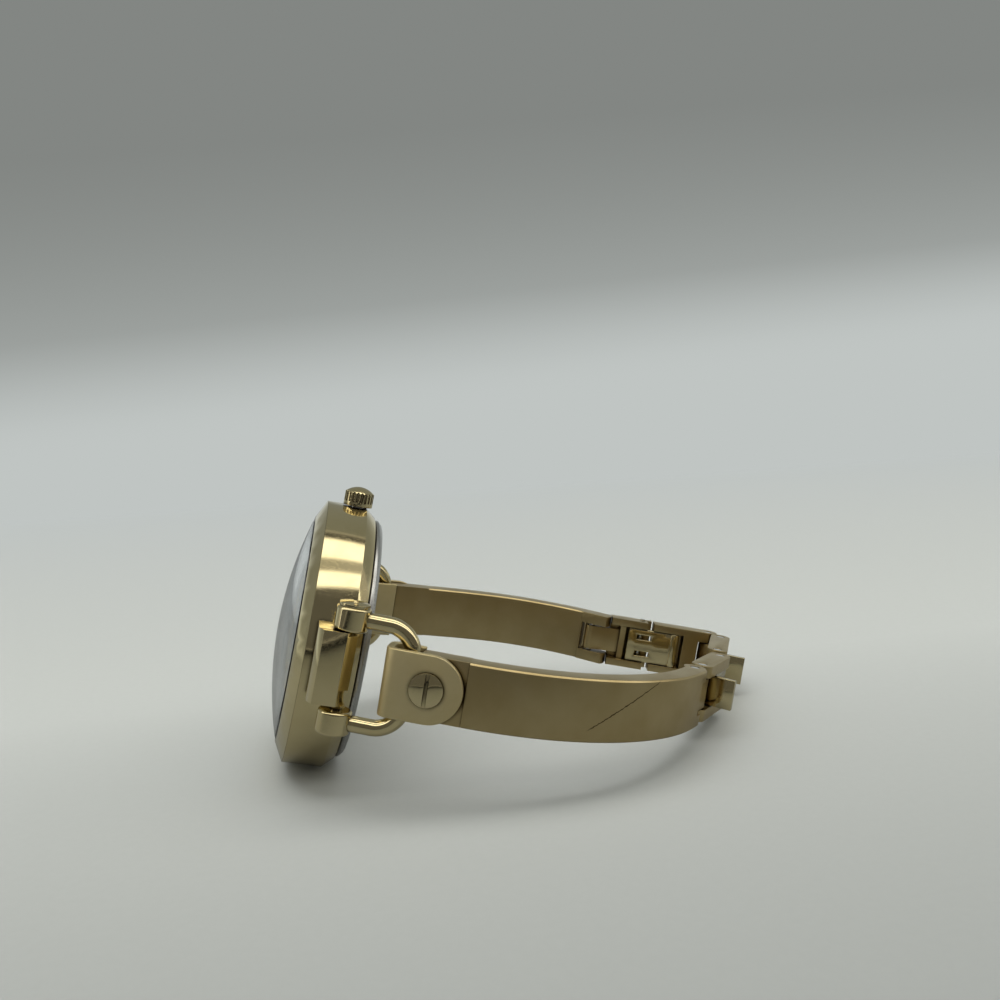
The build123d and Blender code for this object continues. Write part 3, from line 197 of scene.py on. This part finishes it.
def plated_gold(name, bright, deep, roughness, lines_per_mm, line_depth, scratched=False):
    """Pale gold plating on steel, with its grinding lines per millimetre along each of the watch's axes."""
    material, tree, output = new_material(name)
    shade_and_grime = linear(bpy.context.scene.watch_metals.shade_and_grime)
    lines = add_node(
        tree,
        "ShaderNodeTexNoise",
        {"Vector": watch_coordinates(tree, lines_per_mm), "Scale": 1.0, "Detail": 3.0},
    )
    # Handling: soft clouds, where skin oil dulls the plating
    clouds = add_node(
        tree,
        "ShaderNodeTexNoise",
        {"Vector": watch_coordinates(tree, (1.0, 1.0, 1.0)), "Scale": CLOUDS_PER_MM, "Detail": 4.0},
    )
    # Hairline scratches from wear: the thin ridges of a stretched and twisted noise
    hairs = add_node(
        tree,
        "ShaderNodeTexNoise",
        {"Vector": watch_coordinates(tree, HAIRS_PER_MM), "Scale": 1.0, "Detail": 1.0, "Distortion": 1.6},
    )
    slope = add_node(tree, "ShaderNodeMath", {0: hairs.outputs[0], 1: 0.5}, operation="SUBTRACT")
    ridge = add_node(tree, "ShaderNodeMath", {0: slope.outputs[0]}, operation="ABSOLUTE")
    hair = add_node(tree, "ShaderNodeMapRange", carried(ridge.outputs[0], 0.0, HAIR_EDGE, 1.0, 0.0))
    dulling = add_node(tree, "ShaderNodeMapRange", carried(clouds.outputs[0], 0.2, 0.8, 0.0, 1.0))
    colour = add_node(
        tree,
        "ShaderNodeMix",
        {"Factor": dulling.outputs[0], "A": linear(bright), "B": linear(deep)},
        data_type="RGBA",
    )
    # Painted shade: seams, slots and corners are darkened towards the dark brown colour by how closed in they are,
    # where shade falls
    hollow = add_node(tree, "ShaderNodeAmbientOcclusion", {"Distance": PAINTED_SHADE_REACH}, samples=PAINTED_SHADE_SAMPLES)
    openness = add_node(tree, "ShaderNodeMapRange", carried(hollow.outputs["AO"], 0.5, 0.92, 0.0, 1.0))
    colour = add_node(
        tree,
        "ShaderNodeMix",
        {"Factor": openness.outputs[0], "A": shade_and_grime, "B": colour.outputs[2]},
        data_type="RGBA",
    )
    # The long scratch is real wear, drawn in the same dark brown colour as the painted shade
    if scratched:
        colour = add_node(
            tree,
            "ShaderNodeMix",
            {"Factor": long_scratch(tree), "A": colour.outputs[2], "B": shade_and_grime},
            data_type="RGBA",
        )
    dulled = add_node(
        tree, "ShaderNodeMapRange", carried(clouds.outputs[0], 0.3, 0.7, roughness * 0.9, roughness * 1.1)
    )
    rough = add_node(
        tree,
        "ShaderNodeMath",
        {0: hair.outputs[0], 1: HAIR_ROUGHNESS, 2: dulled.outputs[0]},
        operation="MULTIPLY_ADD",
    )
    ground = add_node(
        tree, "ShaderNodeBump", {"Height": lines.outputs[0], "Strength": 1.0, "Distance": line_depth * MM}
    )
    worn = add_node(
        tree,
        "ShaderNodeBump",
        {"Height": hair.outputs[0], "Strength": 0.35, "Distance": HAIR_DEPTH, "Normal": ground.outputs[0]},
        invert=True,
    )
    shader = add_node(
        tree,
        "ShaderNodeBsdfPrincipled",
        {
            "Base Color": colour.outputs[2],
            "Metallic": 1.0,
            "Roughness": rough.outputs[0],
            "Normal": worn.outputs[0],
        },
    )
    tree.links.new(shader.outputs[0], output.inputs["Surface"])
    return material


def grained(name, colour, roughness, grains_per_mm, depth, metallic, detail, swing):
    """A surface of one colour with a fine grain, which also carries its roughness between two shares."""
    material, tree, output = new_material(name)
    texture = add_node(
        tree,
        "ShaderNodeTexNoise",
        {"Vector": watch_coordinates(tree, grains_per_mm), "Scale": 1.0, "Detail": detail},
    )
    bump = add_node(
        tree, "ShaderNodeBump", {"Height": texture.outputs[0], "Strength": 1.0, "Distance": depth * MM}
    )
    smooth, coarse = swing
    rough = add_node(
        tree,
        "ShaderNodeMapRange",
        carried(texture.outputs[0], 0.3, 0.7, roughness * smooth, roughness * coarse),
    )
    shader = add_node(
        tree,
        "ShaderNodeBsdfPrincipled",
        {
            "Base Color": linear(colour),
            "Metallic": metallic,
            "Roughness": rough.outputs[0],
            "Normal": bump.outputs[0],
        },
    )
    tree.links.new(shader.outputs[0], output.inputs["Surface"])
    return material


def bare_metal(name, colour, roughness, grains_per_mm, depth):
    """A metal with the fine grain of its last tool."""
    return grained(name, colour, roughness, grains_per_mm, depth, 1.0, 3.0, (0.85, 1.2))


def moulded(name, colour, roughness, grains_per_mm, depth):
    """A plastic, rubber or lacquer with a fine moulded or sprayed grain."""
    return grained(name, colour, roughness, grains_per_mm, depth, 0.0, 2.0, (0.9, 1.1))


# Smears of handling on the glass, 2 to 5 mm across
SMEARS_PER_MM = (0.3, 0.5, 0.2)


def mineral_glass():
    """Clear mineral glass, pressed and polished: smooth, with the faintest smears of handling."""
    material, tree, output = new_material("mineral glass, polished")
    smears = add_node(
        tree,
        "ShaderNodeTexNoise",
        {"Vector": watch_coordinates(tree, SMEARS_PER_MM), "Scale": 1.0, "Detail": 5.0},
    )
    rough = add_node(tree, "ShaderNodeMapRange", carried(smears.outputs[0], 0.35, 0.75, 0.01, 0.07))
    shader = add_node(
        tree,
        "ShaderNodeBsdfPrincipled",
        {
            "Base Color": linear("FBFDFD"),
            "Metallic": 0.0,
            "Roughness": rough.outputs[0],
            "IOR": 1.5,
            "Transmission Weight": 1.0,
        },
    )
    tree.links.new(shader.outputs[0], output.inputs["Surface"])
    return material


# Softening an edge: what counts as one point, one flat face, an edge to round, and an edge to keep crisp
WELD_DISTANCE = 0.0005 * MM
FLAT_ANGLE = math.radians(0.5)
ROUNDED_ANGLE = math.radians(32)
CRISP_ANGLE = math.radians(40)
ROUNDING_STEPS = 3
LARGEST_FACE = 4


def softened(node, material, width):
    """A copy of a CAD node with its sharp edges rounded, in the node's place."""
    source = frame["nodes"][node]
    mesh = bmesh.new()
    mesh.from_mesh(source.data)
    bmesh.ops.remove_doubles(mesh, verts=mesh.verts, dist=WELD_DISTANCE)
    bmesh.ops.dissolve_limit(mesh, angle_limit=FLAT_ANGLE, verts=mesh.verts, edges=mesh.edges)
    sharp = [edge for edge in mesh.edges if edge.is_manifold and edge.calc_face_angle() > ROUNDED_ANGLE]
    bmesh.ops.bevel(
        mesh,
        geom=sharp,
        offset=width * MM,
        offset_type="OFFSET",
        segments=ROUNDING_STEPS,
        profile=0.5,
        affect="EDGES",
        clamp_overlap=True,
        harden_normals=False,
    )
    bmesh.ops.triangulate(mesh, faces=[face for face in mesh.faces if len(face.verts) > LARGEST_FACE])
    data = bpy.data.meshes.new(node + "_finished")
    mesh.to_mesh(data)
    mesh.free()
    piece = bpy.data.objects.new(node + "_finished", data)
    bpy.context.scene.collection.objects.link(piece)
    data.materials.append(material)
    data.shade_smooth()
    data.set_sharp_from_angle(angle=CRISP_ANGLE)
    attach(piece, BODY_OF[node])
    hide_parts(node)
    return piece


def dress(node, material):
    """Gives a CAD node its material."""
    data = frame["nodes"][node].data
    data.materials.clear()
    data.materials.append(material)


class WatchMetals(bpy.types.PropertyGroup):
    gold_bright: bpy.props.StringProperty(
        name="Gold", description="sRGB hex of clean polished plating", default="E6D7AA"
    )
    gold_deep: bpy.props.StringProperty(
        name="Dull gold", description="sRGB hex of handled polished plating", default="D9C998"
    )
    brushed_bright: bpy.props.StringProperty(
        name="Brushed gold", description="sRGB hex of clean brushed plating", default="CBB88A"
    )
    brushed_deep: bpy.props.StringProperty(
        name="Dull brushed gold", description="sRGB hex of handled brushed plating", default="BAA575"
    )
    # The colour of the painted shade in seams and corners, and of the long scratch on the near arm
    shade_and_grime: bpy.props.StringProperty(
        name="Shade and dirt", description="sRGB hex of the painted shade in crevices and of the scratch", default="3B2C17"
    )
    polish: bpy.props.FloatProperty(
        name="Polish",
        description="Roughness of the polished gold",
        default=0.09,
        min=0.0,
        max=1.0,
        subtype="FACTOR",
    )
    satin: bpy.props.FloatProperty(
        name="Satin",
        description="Roughness of the satin gold",
        default=0.55,
        min=0.0,
        max=1.0,
        subtype="FACTOR",
    )
    brushed: bpy.props.FloatProperty(
        name="Brushed",
        description="Roughness of the brushed gold",
        default=0.34,
        min=0.0,
        max=1.0,
        subtype="FACTOR",
    )
    edge: bpy.props.FloatProperty(
        name="Edge", description="Width of the softened edges in mm", default=0.12, min=0.0, max=0.5
    )
    crown_edge: bpy.props.FloatProperty(
        name="Crown edge", description="Width of the crown's edges in mm", default=0.05, min=0.0, max=0.2
    )


class WatchStudio(bpy.types.PropertyGroup):
    lamp: bpy.props.FloatProperty(
        name="Overhead light", description="Strength of the broad light from above", default=1.6, min=0.0
    )
    room: bpy.props.FloatProperty(
        name="Room", description="Level of the room around the watch", default=1.0, min=0.0
    )
    floor_colour: bpy.props.StringProperty(
        name="Floor", description="sRGB hex of the floor's paper", default="C6CAC8"
    )
    # The wall's tones are painted light and shade: pale at its foot, darker above. Far behind, the floor glows in
    # the foot's tone
    foot_colour: bpy.props.StringProperty(
        name="Wall foot", description="sRGB hex of the wall at its foot", default="C0C5C3"
    )
    middle_colour: bpy.props.StringProperty(
        name="Wall middle", description="sRGB hex of the wall half-way up", default="989C99"
    )
    wall_colour: bpy.props.StringProperty(
        name="Wall", description="sRGB hex of the wall's upper part", default="7E817E"
    )


# Lines, grains or wound turns per millimetre along the watch's axes, and how deep they are in millimetres.
# Brushing is drawn coarser than the real lines, which a render of this size can't show
POLISHING_LINES = (3.0, 3.0, 3.0)
POLISHING_DEPTH = 0.0012
BRUSHING_LINES = (0.25, 0.25, 12.0)
BRUSHING_DEPTH = 0.006
SATIN_LINES = (6.0, 6.0, 1.2)
SATIN_DEPTH = 0.004


def make_materials():
    """All finishes, made once and kept by name."""
    metals = bpy.context.scene.watch_metals
    finishes = {}
    # Pale gold plating, mirror polished: clear reflections, broken up by clouds and hairline wear
    finishes["polished"] = plated_gold(
        "pale gold plating, polished",
        metals.gold_bright,
        metals.gold_deep,
        metals.polish,
        POLISHING_LINES,
        POLISHING_DEPTH,
    )
    # Pale gold plating, brushed along the band: a broad sheen, drawn across the fine lines
    finishes["brushed"] = plated_gold(
        "pale gold plating, brushed along",
        metals.brushed_bright,
        metals.brushed_deep,
        metals.brushed,
        BRUSHING_LINES,
        BRUSHING_DEPTH,
    )
    # The same, on the near arm, with the long scratch across its outer face
    finishes["scratched"] = plated_gold(
        "pale gold plating, brushed and scratched",
        metals.brushed_bright,
        metals.brushed_deep,
        metals.brushed,
        BRUSHING_LINES,
        BRUSHING_DEPTH,
        scratched=True,
    )
    # Pale gold plating, satin: a soft glow with a fine upright grain, on the folded tabs
    finishes["satin_gold"] = plated_gold(
        "pale gold plating, satin",
        metals.gold_bright,
        metals.gold_deep,
        metals.satin,
        SATIN_LINES,
        SATIN_DEPTH,
    )
    # Stainless steel, polished: bright and grey against the gold
    finishes["steel"] = bare_metal("stainless steel, polished", "CFCFCC", 0.14, (4.0, 4.0, 4.0), 0.001)
    # Stainless steel, satin ground across the case back: a soft grey sheen
    finishes["satin"] = bare_metal("stainless steel, satin", "C2C2BF", 0.3, (14.0, 5.0, 5.0), 0.003)
    # Mineral glass: clear, with bright reflections at its edge
    finishes["glass"] = mineral_glass()
    # Nitrile rubber, moulded: a dull dark line between two metals
    finishes["rubber"] = moulded("nitrile rubber, moulded", "3A3A3A", 0.6, (8.0, 8.0, 8.0), 0.004)
    # Lacquer sprayed on the brass dial: pale and even, a little glossy
    finishes["lacquer"] = moulded(
        "champagne lacquer on brass, sprayed", "E9E0C8", 0.35, (9.0, 9.0, 9.0), 0.002
    )
    # Brass, circular grained: the warm plate and wheels of the movement
    finishes["brass"] = bare_metal("brass, circular grained", "D1B06A", 0.28, (2.0, 10.0, 10.0), 0.003)
    # Acetal, moulded: the off-white, waxy movement holder
    finishes["acetal"] = moulded("acetal, moulded", "D9D8D2", 0.45, (6.0, 6.0, 6.0), 0.003)
    # Glass epoxy under solder mask: green and half glossy
    finishes["board"] = moulded("epoxy circuit board, masked", "2E5A3C", 0.4, (7.0, 7.0, 7.0), 0.003)
    # Enamelled copper wire, wound: reddish, ribbed by its turns
    finishes["copper"] = bare_metal("enamelled copper wire, wound", "B4683A", 0.3, (2.0, 12.0, 2.0), 0.02)
    # Soft magnetic steel, stamped and annealed: a plain dull grey
    finishes["magnet"] = bare_metal("soft magnetic steel, stamped", "8E8E8C", 0.35, (6.0, 6.0, 6.0), 0.003)
    return finishes


FINISHES = {}


class WATCH_OT_case(bpy.types.Operator):
    """Dress the case, bezel, glass and case back"""
    bl_idname = "watch.case"
    bl_label = "Case"

    def execute(self, context):
        edge = context.scene.watch_metals.edge
        softened("case_middle", FINISHES["polished"], edge)
        softened("bezel", FINISHES["polished"], edge)
        softened("case_back", FINISHES["satin"], edge)
        dress("crystal", FINISHES["glass"])
        for node in ("crystal_gasket", "case_back_gasket", "crown_gasket"):
            dress(node, FINISHES["rubber"])
        return {"FINISHED"}


class WATCH_OT_dial(bpy.types.Operator):
    """Dress the dial, batons and hands"""
    bl_idname = "watch.dial"
    bl_label = "Dial and hands"

    def execute(self, context):
        for node in ("dial", "dial_ring"):
            dress(node, FINISHES["lacquer"])
        for node in ("hour_markers", "hour_hand", "minute_hand"):
            dress(node, FINISHES["polished"])
        return {"FINISHED"}


class WATCH_OT_movement(bpy.types.Operator):
    """Dress the movement"""
    bl_idname = "watch.movement"
    bl_label = "Movement"

    def execute(self, context):
        for node in ("main_plate", "hour_wheel", "minute_wheel", "center_wheel", "third_wheel"):
            dress(node, FINISHES["brass"])
        for node in ("train_bridge", "battery", "battery_strap", "setting_lever", "stem", "crown_tube"):
            dress(node, FINISHES["steel"])
        for node in ("stator", "rotor", "coil_core"):
            dress(node, FINISHES["magnet"])
        dress("movement_holder", FINISHES["acetal"])
        dress("circuit_board", FINISHES["board"])
        dress("coil_winding", FINISHES["copper"])
        return {"FINISHED"}


class WATCH_OT_crown(bpy.types.Operator):
    """Dress the fluted crown"""
    bl_idname = "watch.crown"
    bl_label = "Crown"

    def execute(self, context):
        softened("crown", FINISHES["polished"], context.scene.watch_metals.crown_edge)
        return {"FINISHED"}


class WATCH_OT_shackles(bpy.types.Operator):
    """Dress the shackles, tabs and their screws"""
    bl_idname = "watch.shackles"
    bl_label = "Shackles and tabs"

    def execute(self, context):
        edge = context.scene.watch_metals.edge
        for hour in ("6", "12"):
            dress("shackle_" + hour, FINISHES["polished"])
            softened("lug_screw_" + hour, FINISHES["polished"], edge / 2)
            softened("tab_" + hour, FINISHES["satin_gold"], edge)
            softened("tab_screw_" + hour, FINISHES["polished"], edge / 2)
        return {"FINISHED"}


class WATCH_OT_bangle(bpy.types.Operator):
    """Dress the two arms, the links, their pins and the lip plate"""
    bl_idname = "watch.bangle"
    bl_label = "Bangle"

    def execute(self, context):
        edge = context.scene.watch_metals.edge
        softened("arm_6", FINISHES["scratched"], edge)
        for node in ("arm_12", "link_6", "end_link", "connector_near", "connector_far"):
            softened(node, FINISHES["brushed"], edge)
        softened("lip_plate", FINISHES["polished"], edge)
        for node in ("hinge_pins_near", "hinge_pins_middle", "hinge_pins_far"):
            dress(node, FINISHES["steel"])
        return {"FINISHED"}


class WATCH_OT_clasp(bpy.types.Operator):
    """Dress the clasp"""
    bl_idname = "watch.clasp"
    bl_label = "Clasp"

    def execute(self, context):
        edge = context.scene.watch_metals.edge
        for node in ("clasp_base", "clasp_cover"):
            softened(node, FINISHES["brushed"], edge)
        softened("latch_leaf", FINISHES["polished"], edge)
        for node in ("clasp_bar", "leaf_pin", "snap_pin"):
            dress(node, FINISHES["steel"])
        return {"FINISHED"}


# The fitted camera, in the bangle's axes: its place in millimetres, its azimuth, fall and roll in degrees
CAMERA_PLACE = (-6.69, -137.90, 30.94)
CAMERA_AIM = (-11.17, 3.95, 9.27)
CAMERA_LENS = 36.0
CAMERA_SENSOR = 36.0
CAMERA_NEAREST = 0.01


def stand_camera():
    """The camera at the photograph's angle."""
    azimuth, elevation, roll = [math.radians(angle) for angle in CAMERA_AIM]
    level = math.cos(elevation)
    ahead = Vector((-math.sin(azimuth) * level, math.cos(azimuth) * level, -math.sin(elevation)))
    right = Vector((math.cos(azimuth), math.sin(azimuth), 0.0))
    up = right.cross(ahead)
    rolled_right = right * math.cos(roll) + up * math.sin(roll)
    rolled_up = up * math.cos(roll) - right * math.sin(roll)
    turned = Matrix([band_way(*axis) for axis in (rolled_right, rolled_up, -ahead)]).transposed().to_4x4()
    data = bpy.data.cameras.new("camera")
    data.lens = CAMERA_LENS
    data.sensor_width = CAMERA_SENSOR
    data.clip_start = CAMERA_NEAREST
    camera = bpy.data.objects.new("camera", data)
    bpy.context.scene.collection.objects.link(camera)
    camera.matrix_world = Matrix.Translation(band_place(*CAMERA_PLACE)) @ turned
    bpy.context.scene.camera = camera


# The studio in metres, with the watch at its middle and the camera towards -Y
SHEET_HALF_WIDTH = 2.0
FLOOR_FRONT = -1.5
WALL_DISTANCE = 0.5
WALL_HEIGHT = 1.5

# The floor's tones: where painted shade darkens it towards the camera and beyond it, and to what share of its
# colour, its grain of about 1 mm, and where it glows in the tone of the wall's foot
FRONT_SHADE = (-0.1, 0.03)
FRONT_SHARE = 0.58
NEAREST_SHADE = (-0.3, -0.11)
NEAREST_SHARE = 0.08
PAPER_GRAINS = 900.0
PAPER_MOTTLE = 0.985
FOOT_BLEND = (0.06, 0.36)

# The share of the floor's tone that metal and glass mirror: painted shade in their reflections, as the real metal
# looks darker than its floor
MIRRORED_SHADE_SHARE = 0.5

# The wall's tones, painted light and shade on a glowing sheet: how they slant with X, the heights between which
# they change, and the shares of that rise at which the foot's tone ends and the middle's lies
WALL_SLANT = -0.07
WALL_RISE = (0.03, 0.21)
FOOT_END = 0.18
MIDDLE_AT = 0.42


def flat_sheet(name, near, far, material):
    """One flat face of the studio, between two level edges, each given by its Y and Z."""
    across = SHEET_HALF_WIDTH
    corners = [(-across, *near), (across, *near), (across, *far), (-across, *far)]
    data = bpy.data.meshes.new(name)
    data.from_pydata(corners, [], [(0, 1, 2, 3)])
    data.materials.append(material)
    sheet = bpy.data.objects.new(name, data)
    bpy.context.scene.collection.objects.link(sheet)


def studio_floor(floor_colour, foot_colour):
    """Matt grey paper: a fine grain, painted shade falling off towards the camera, darker in what metal and glass
    mirror, and far behind a glow in the tone of the wall's foot.
    """
    material, tree, output = new_material("matt grey paper, floor, with painted shade")
    coordinates = add_node(tree, "ShaderNodeTexCoord")
    split = add_node(tree, "ShaderNodeSeparateXYZ", {0: coordinates.outputs["Object"]})
    behind = split.outputs["Y"]
    # Painted shade: the floor darkens towards the camera, and much more beyond it
    front = add_node(tree, "ShaderNodeMapRange", carried(behind, *FRONT_SHADE, FRONT_SHARE, 1.0))
    nearest = add_node(tree, "ShaderNodeMapRange", carried(behind, *NEAREST_SHADE, NEAREST_SHARE, 1.0))
    grain = add_node(
        tree,
        "ShaderNodeTexNoise",
        {"Vector": coordinates.outputs["Object"], "Scale": PAPER_GRAINS, "Detail": 2.0},
    )
    mottle = add_node(tree, "ShaderNodeMapRange", carried(grain.outputs[0], 0.3, 0.7, PAPER_MOTTLE, 1.0))
    # Painted shade in reflections: metal and glass see the floor at only a share of its tone
    path = add_node(tree, "ShaderNodeLightPath")
    mirrored = add_node(
        tree, "ShaderNodeMapRange", carried(path.outputs["Is Glossy Ray"], 0.0, 1.0, 1.0, MIRRORED_SHADE_SHARE)
    )
    level = front
    for share in (nearest, mottle, mirrored):
        shares = {0: level.outputs[0], 1: share.outputs[0]}
        level = add_node(tree, "ShaderNodeMath", shares, operation="MULTIPLY")
    tone = add_node(
        tree,
        "ShaderNodeMix",
        {"Factor": level.outputs[0], "A": linear("000000"), "B": linear(floor_colour)},
        data_type="RGBA",
    )
    paper = add_node(tree, "ShaderNodeBsdfDiffuse", {"Color": tone.outputs[2], "Roughness": 0.0})
    far = add_node(
        tree, "ShaderNodeEmission", {"Color": linear(foot_colour), "Strength": mirrored.outputs[0]}
    )
    distance = add_node(tree, "ShaderNodeMapRange", carried(behind, *FOOT_BLEND, 0.0, 1.0))
    shader = add_node(
        tree, "ShaderNodeMixShader", {0: distance.outputs[0], 1: paper.outputs[0], 2: far.outputs[0]}
    )
    tree.links.new(shader.outputs[0], output.inputs["Surface"])
    return material


def studio_wall(foot_colour, middle_colour, high_colour):
    """The wall behind, a glowing sheet with painted light and shade: pale at its foot, grey above, and paler to
    the right.
    """
    material, tree, output = new_material("grey wall, glowing with painted light and shade")
    coordinates = add_node(tree, "ShaderNodeTexCoord")
    split = add_node(tree, "ShaderNodeSeparateXYZ", {0: coordinates.outputs["Object"]})
    slanted = add_node(
        tree,
        "ShaderNodeMath",
        {0: split.outputs["X"], 1: WALL_SLANT, 2: split.outputs["Z"]},
        operation="MULTIPLY_ADD",
    )
    rise = add_node(tree, "ShaderNodeMapRange", carried(slanted.outputs[0], *WALL_RISE, 0.0, 1.0))
    # Painted light and shade: pale at the foot and towards the right, grey higher up
    tones = add_node(tree, "ShaderNodeValToRGB", {"Fac": rise.outputs[0]})
    tones.color_ramp.interpolation = "B_SPLINE"
    stops = tones.color_ramp.elements
    stops[0].color = linear(foot_colour)
    stops[1].color = linear(high_colour)
    stops.new(FOOT_END).color = linear(foot_colour)
    stops.new(MIDDLE_AT).color = linear(middle_colour)
    shader = add_node(tree, "ShaderNodeEmission", {"Color": tones.outputs[0], "Strength": 1.0})
    tree.links.new(shader.outputs[0], output.inputs["Surface"])
    return material


# The light from above, in degrees: its tilt and turn from straight down, and how broad it is
SUN_TILT = -14.0
SUN_TURN = 20.0
SUN_BREADTH = 60.0


def overhead_light(power):
    """A broad light from above, even over the whole floor, which the metal doesn't mirror as a spot."""
    data = bpy.data.lights.new("overhead_light", "SUN")
    data.energy = power
    data.angle = math.radians(SUN_BREADTH)
    lamp = bpy.data.objects.new("overhead_light", data)
    lamp.rotation_euler = (math.radians(SUN_TILT), 0.0, math.radians(SUN_TURN))
    lamp.visible_glossy = False
    bpy.context.scene.collection.objects.link(lamp)


# The room over the watch, from the far wall over the top to behind the camera: shares of that half turn
# and their brightness. Two windows are overhead, with a dark beam before the first
ROOM_STOPS = (
    (0.0, 0.45),
    (0.4, 0.45),
    (0.42, 0.1),
    (0.44, 0.1),
    (0.46, 2.1),
    (0.56, 2.1),
    (0.58, 0.5),
    (0.63, 0.5),
    (0.65, 2.2),
    (0.71, 2.2),
    (0.73, 0.12),
    (1.0, 0.12),
)
ROOM_COLOUR = "F5F3EC"


def studio_air(level):
    """The room as polished metal sees it: two bright windows overhead, and the dark behind the camera."""
    world = bpy.data.worlds.new("studio room")
    world.use_nodes = True
    bpy.context.scene.world = world
    tree = world.node_tree
    tree.nodes.clear()
    coordinates = add_node(tree, "ShaderNodeTexCoord")
    split = add_node(tree, "ShaderNodeSeparateXYZ", {0: coordinates.outputs["Generated"]})
    swept = add_node(
        tree, "ShaderNodeMath", {0: split.outputs["Z"], 1: split.outputs["Y"]}, operation="ARCTAN2"
    )
    share = add_node(tree, "ShaderNodeMapRange", carried(swept.outputs[0], 0.0, math.pi, 0.0, 1.0))
    room = add_node(tree, "ShaderNodeValToRGB", {"Fac": share.outputs[0]})
    stops = room.color_ramp.elements
    for at, brightness in ROOM_STOPS[1:-1]:
        stops.new(at)
    for stop, (at, brightness) in zip(stops, ROOM_STOPS):
        stop.color = (brightness, brightness, brightness, 1.0)
    strength = add_node(tree, "ShaderNodeMath", {0: room.outputs[0], 1: level}, operation="MULTIPLY")
    background = add_node(
        tree, "ShaderNodeBackground", {"Color": linear(ROOM_COLOUR), "Strength": strength.outputs[0]}
    )
    add_node(tree, "ShaderNodeOutputWorld", {"Surface": background.outputs[0]})


class WATCH_OT_stage(bpy.types.Operator):
    """Set the floor, wall, room, light and camera"""
    bl_idname = "watch.stage"
    bl_label = "Studio"

    def execute(self, context):
        studio = context.scene.watch_studio
        flat_sheet(
            "studio_floor",
            (FLOOR_FRONT, 0.0),
            (WALL_DISTANCE, 0.0),
            studio_floor(studio.floor_colour, studio.foot_colour),
        )
        flat_sheet(
            "studio_wall",
            (WALL_DISTANCE, 0.0),
            (WALL_DISTANCE, WALL_HEIGHT),
            studio_wall(studio.foot_colour, studio.middle_colour, studio.wall_colour),
        )
        overhead_light(studio.lamp)
        studio_air(studio.room)
        stand_camera()
        context.scene.view_settings.view_transform = "Standard"
        return {"FINISHED"}


class WATCH_PT_panel(bpy.types.Panel):
    bl_idname = "WATCH_PT_panel"
    bl_label = "Bangle Watch"
    bl_space_type = "VIEW_3D"
    bl_region_type = "UI"
    bl_category = "Watch"

    def draw(self, context):
        for settings in (context.scene.watch_metals, context.scene.watch_studio):
            for name in settings.__annotations__:
                self.layout.prop(settings, name)
        for operator in OPERATORS:
            self.layout.operator(operator.bl_idname)


OPERATORS = (
    WATCH_OT_case,
    WATCH_OT_dial,
    WATCH_OT_movement,
    WATCH_OT_crown,
    WATCH_OT_shackles,
    WATCH_OT_bangle,
    WATCH_OT_clasp,
    WATCH_OT_stage,
)
CLASSES = (WatchMetals, WatchStudio) + OPERATORS + (WATCH_PT_panel,)


def register():
    for cls in CLASSES:
        bpy.utils.register_class(cls)
    bpy.types.Scene.watch_metals = bpy.props.PointerProperty(type=WatchMetals)
    bpy.types.Scene.watch_studio = bpy.props.PointerProperty(type=WatchStudio)


def unregister():
    del bpy.types.Scene.watch_studio
    del bpy.types.Scene.watch_metals
    for cls in reversed(CLASSES):
        bpy.utils.unregister_class(cls)


def main():
    register()
    FINISHES.update(make_materials())
    bpy.ops.watch.case()
    bpy.ops.watch.dial()
    bpy.ops.watch.movement()
    bpy.ops.watch.crown()
    bpy.ops.watch.shackles()
    bpy.ops.watch.bangle()
    bpy.ops.watch.clasp()
    bpy.ops.watch.stage()


if __name__ == "__main__":
    main()
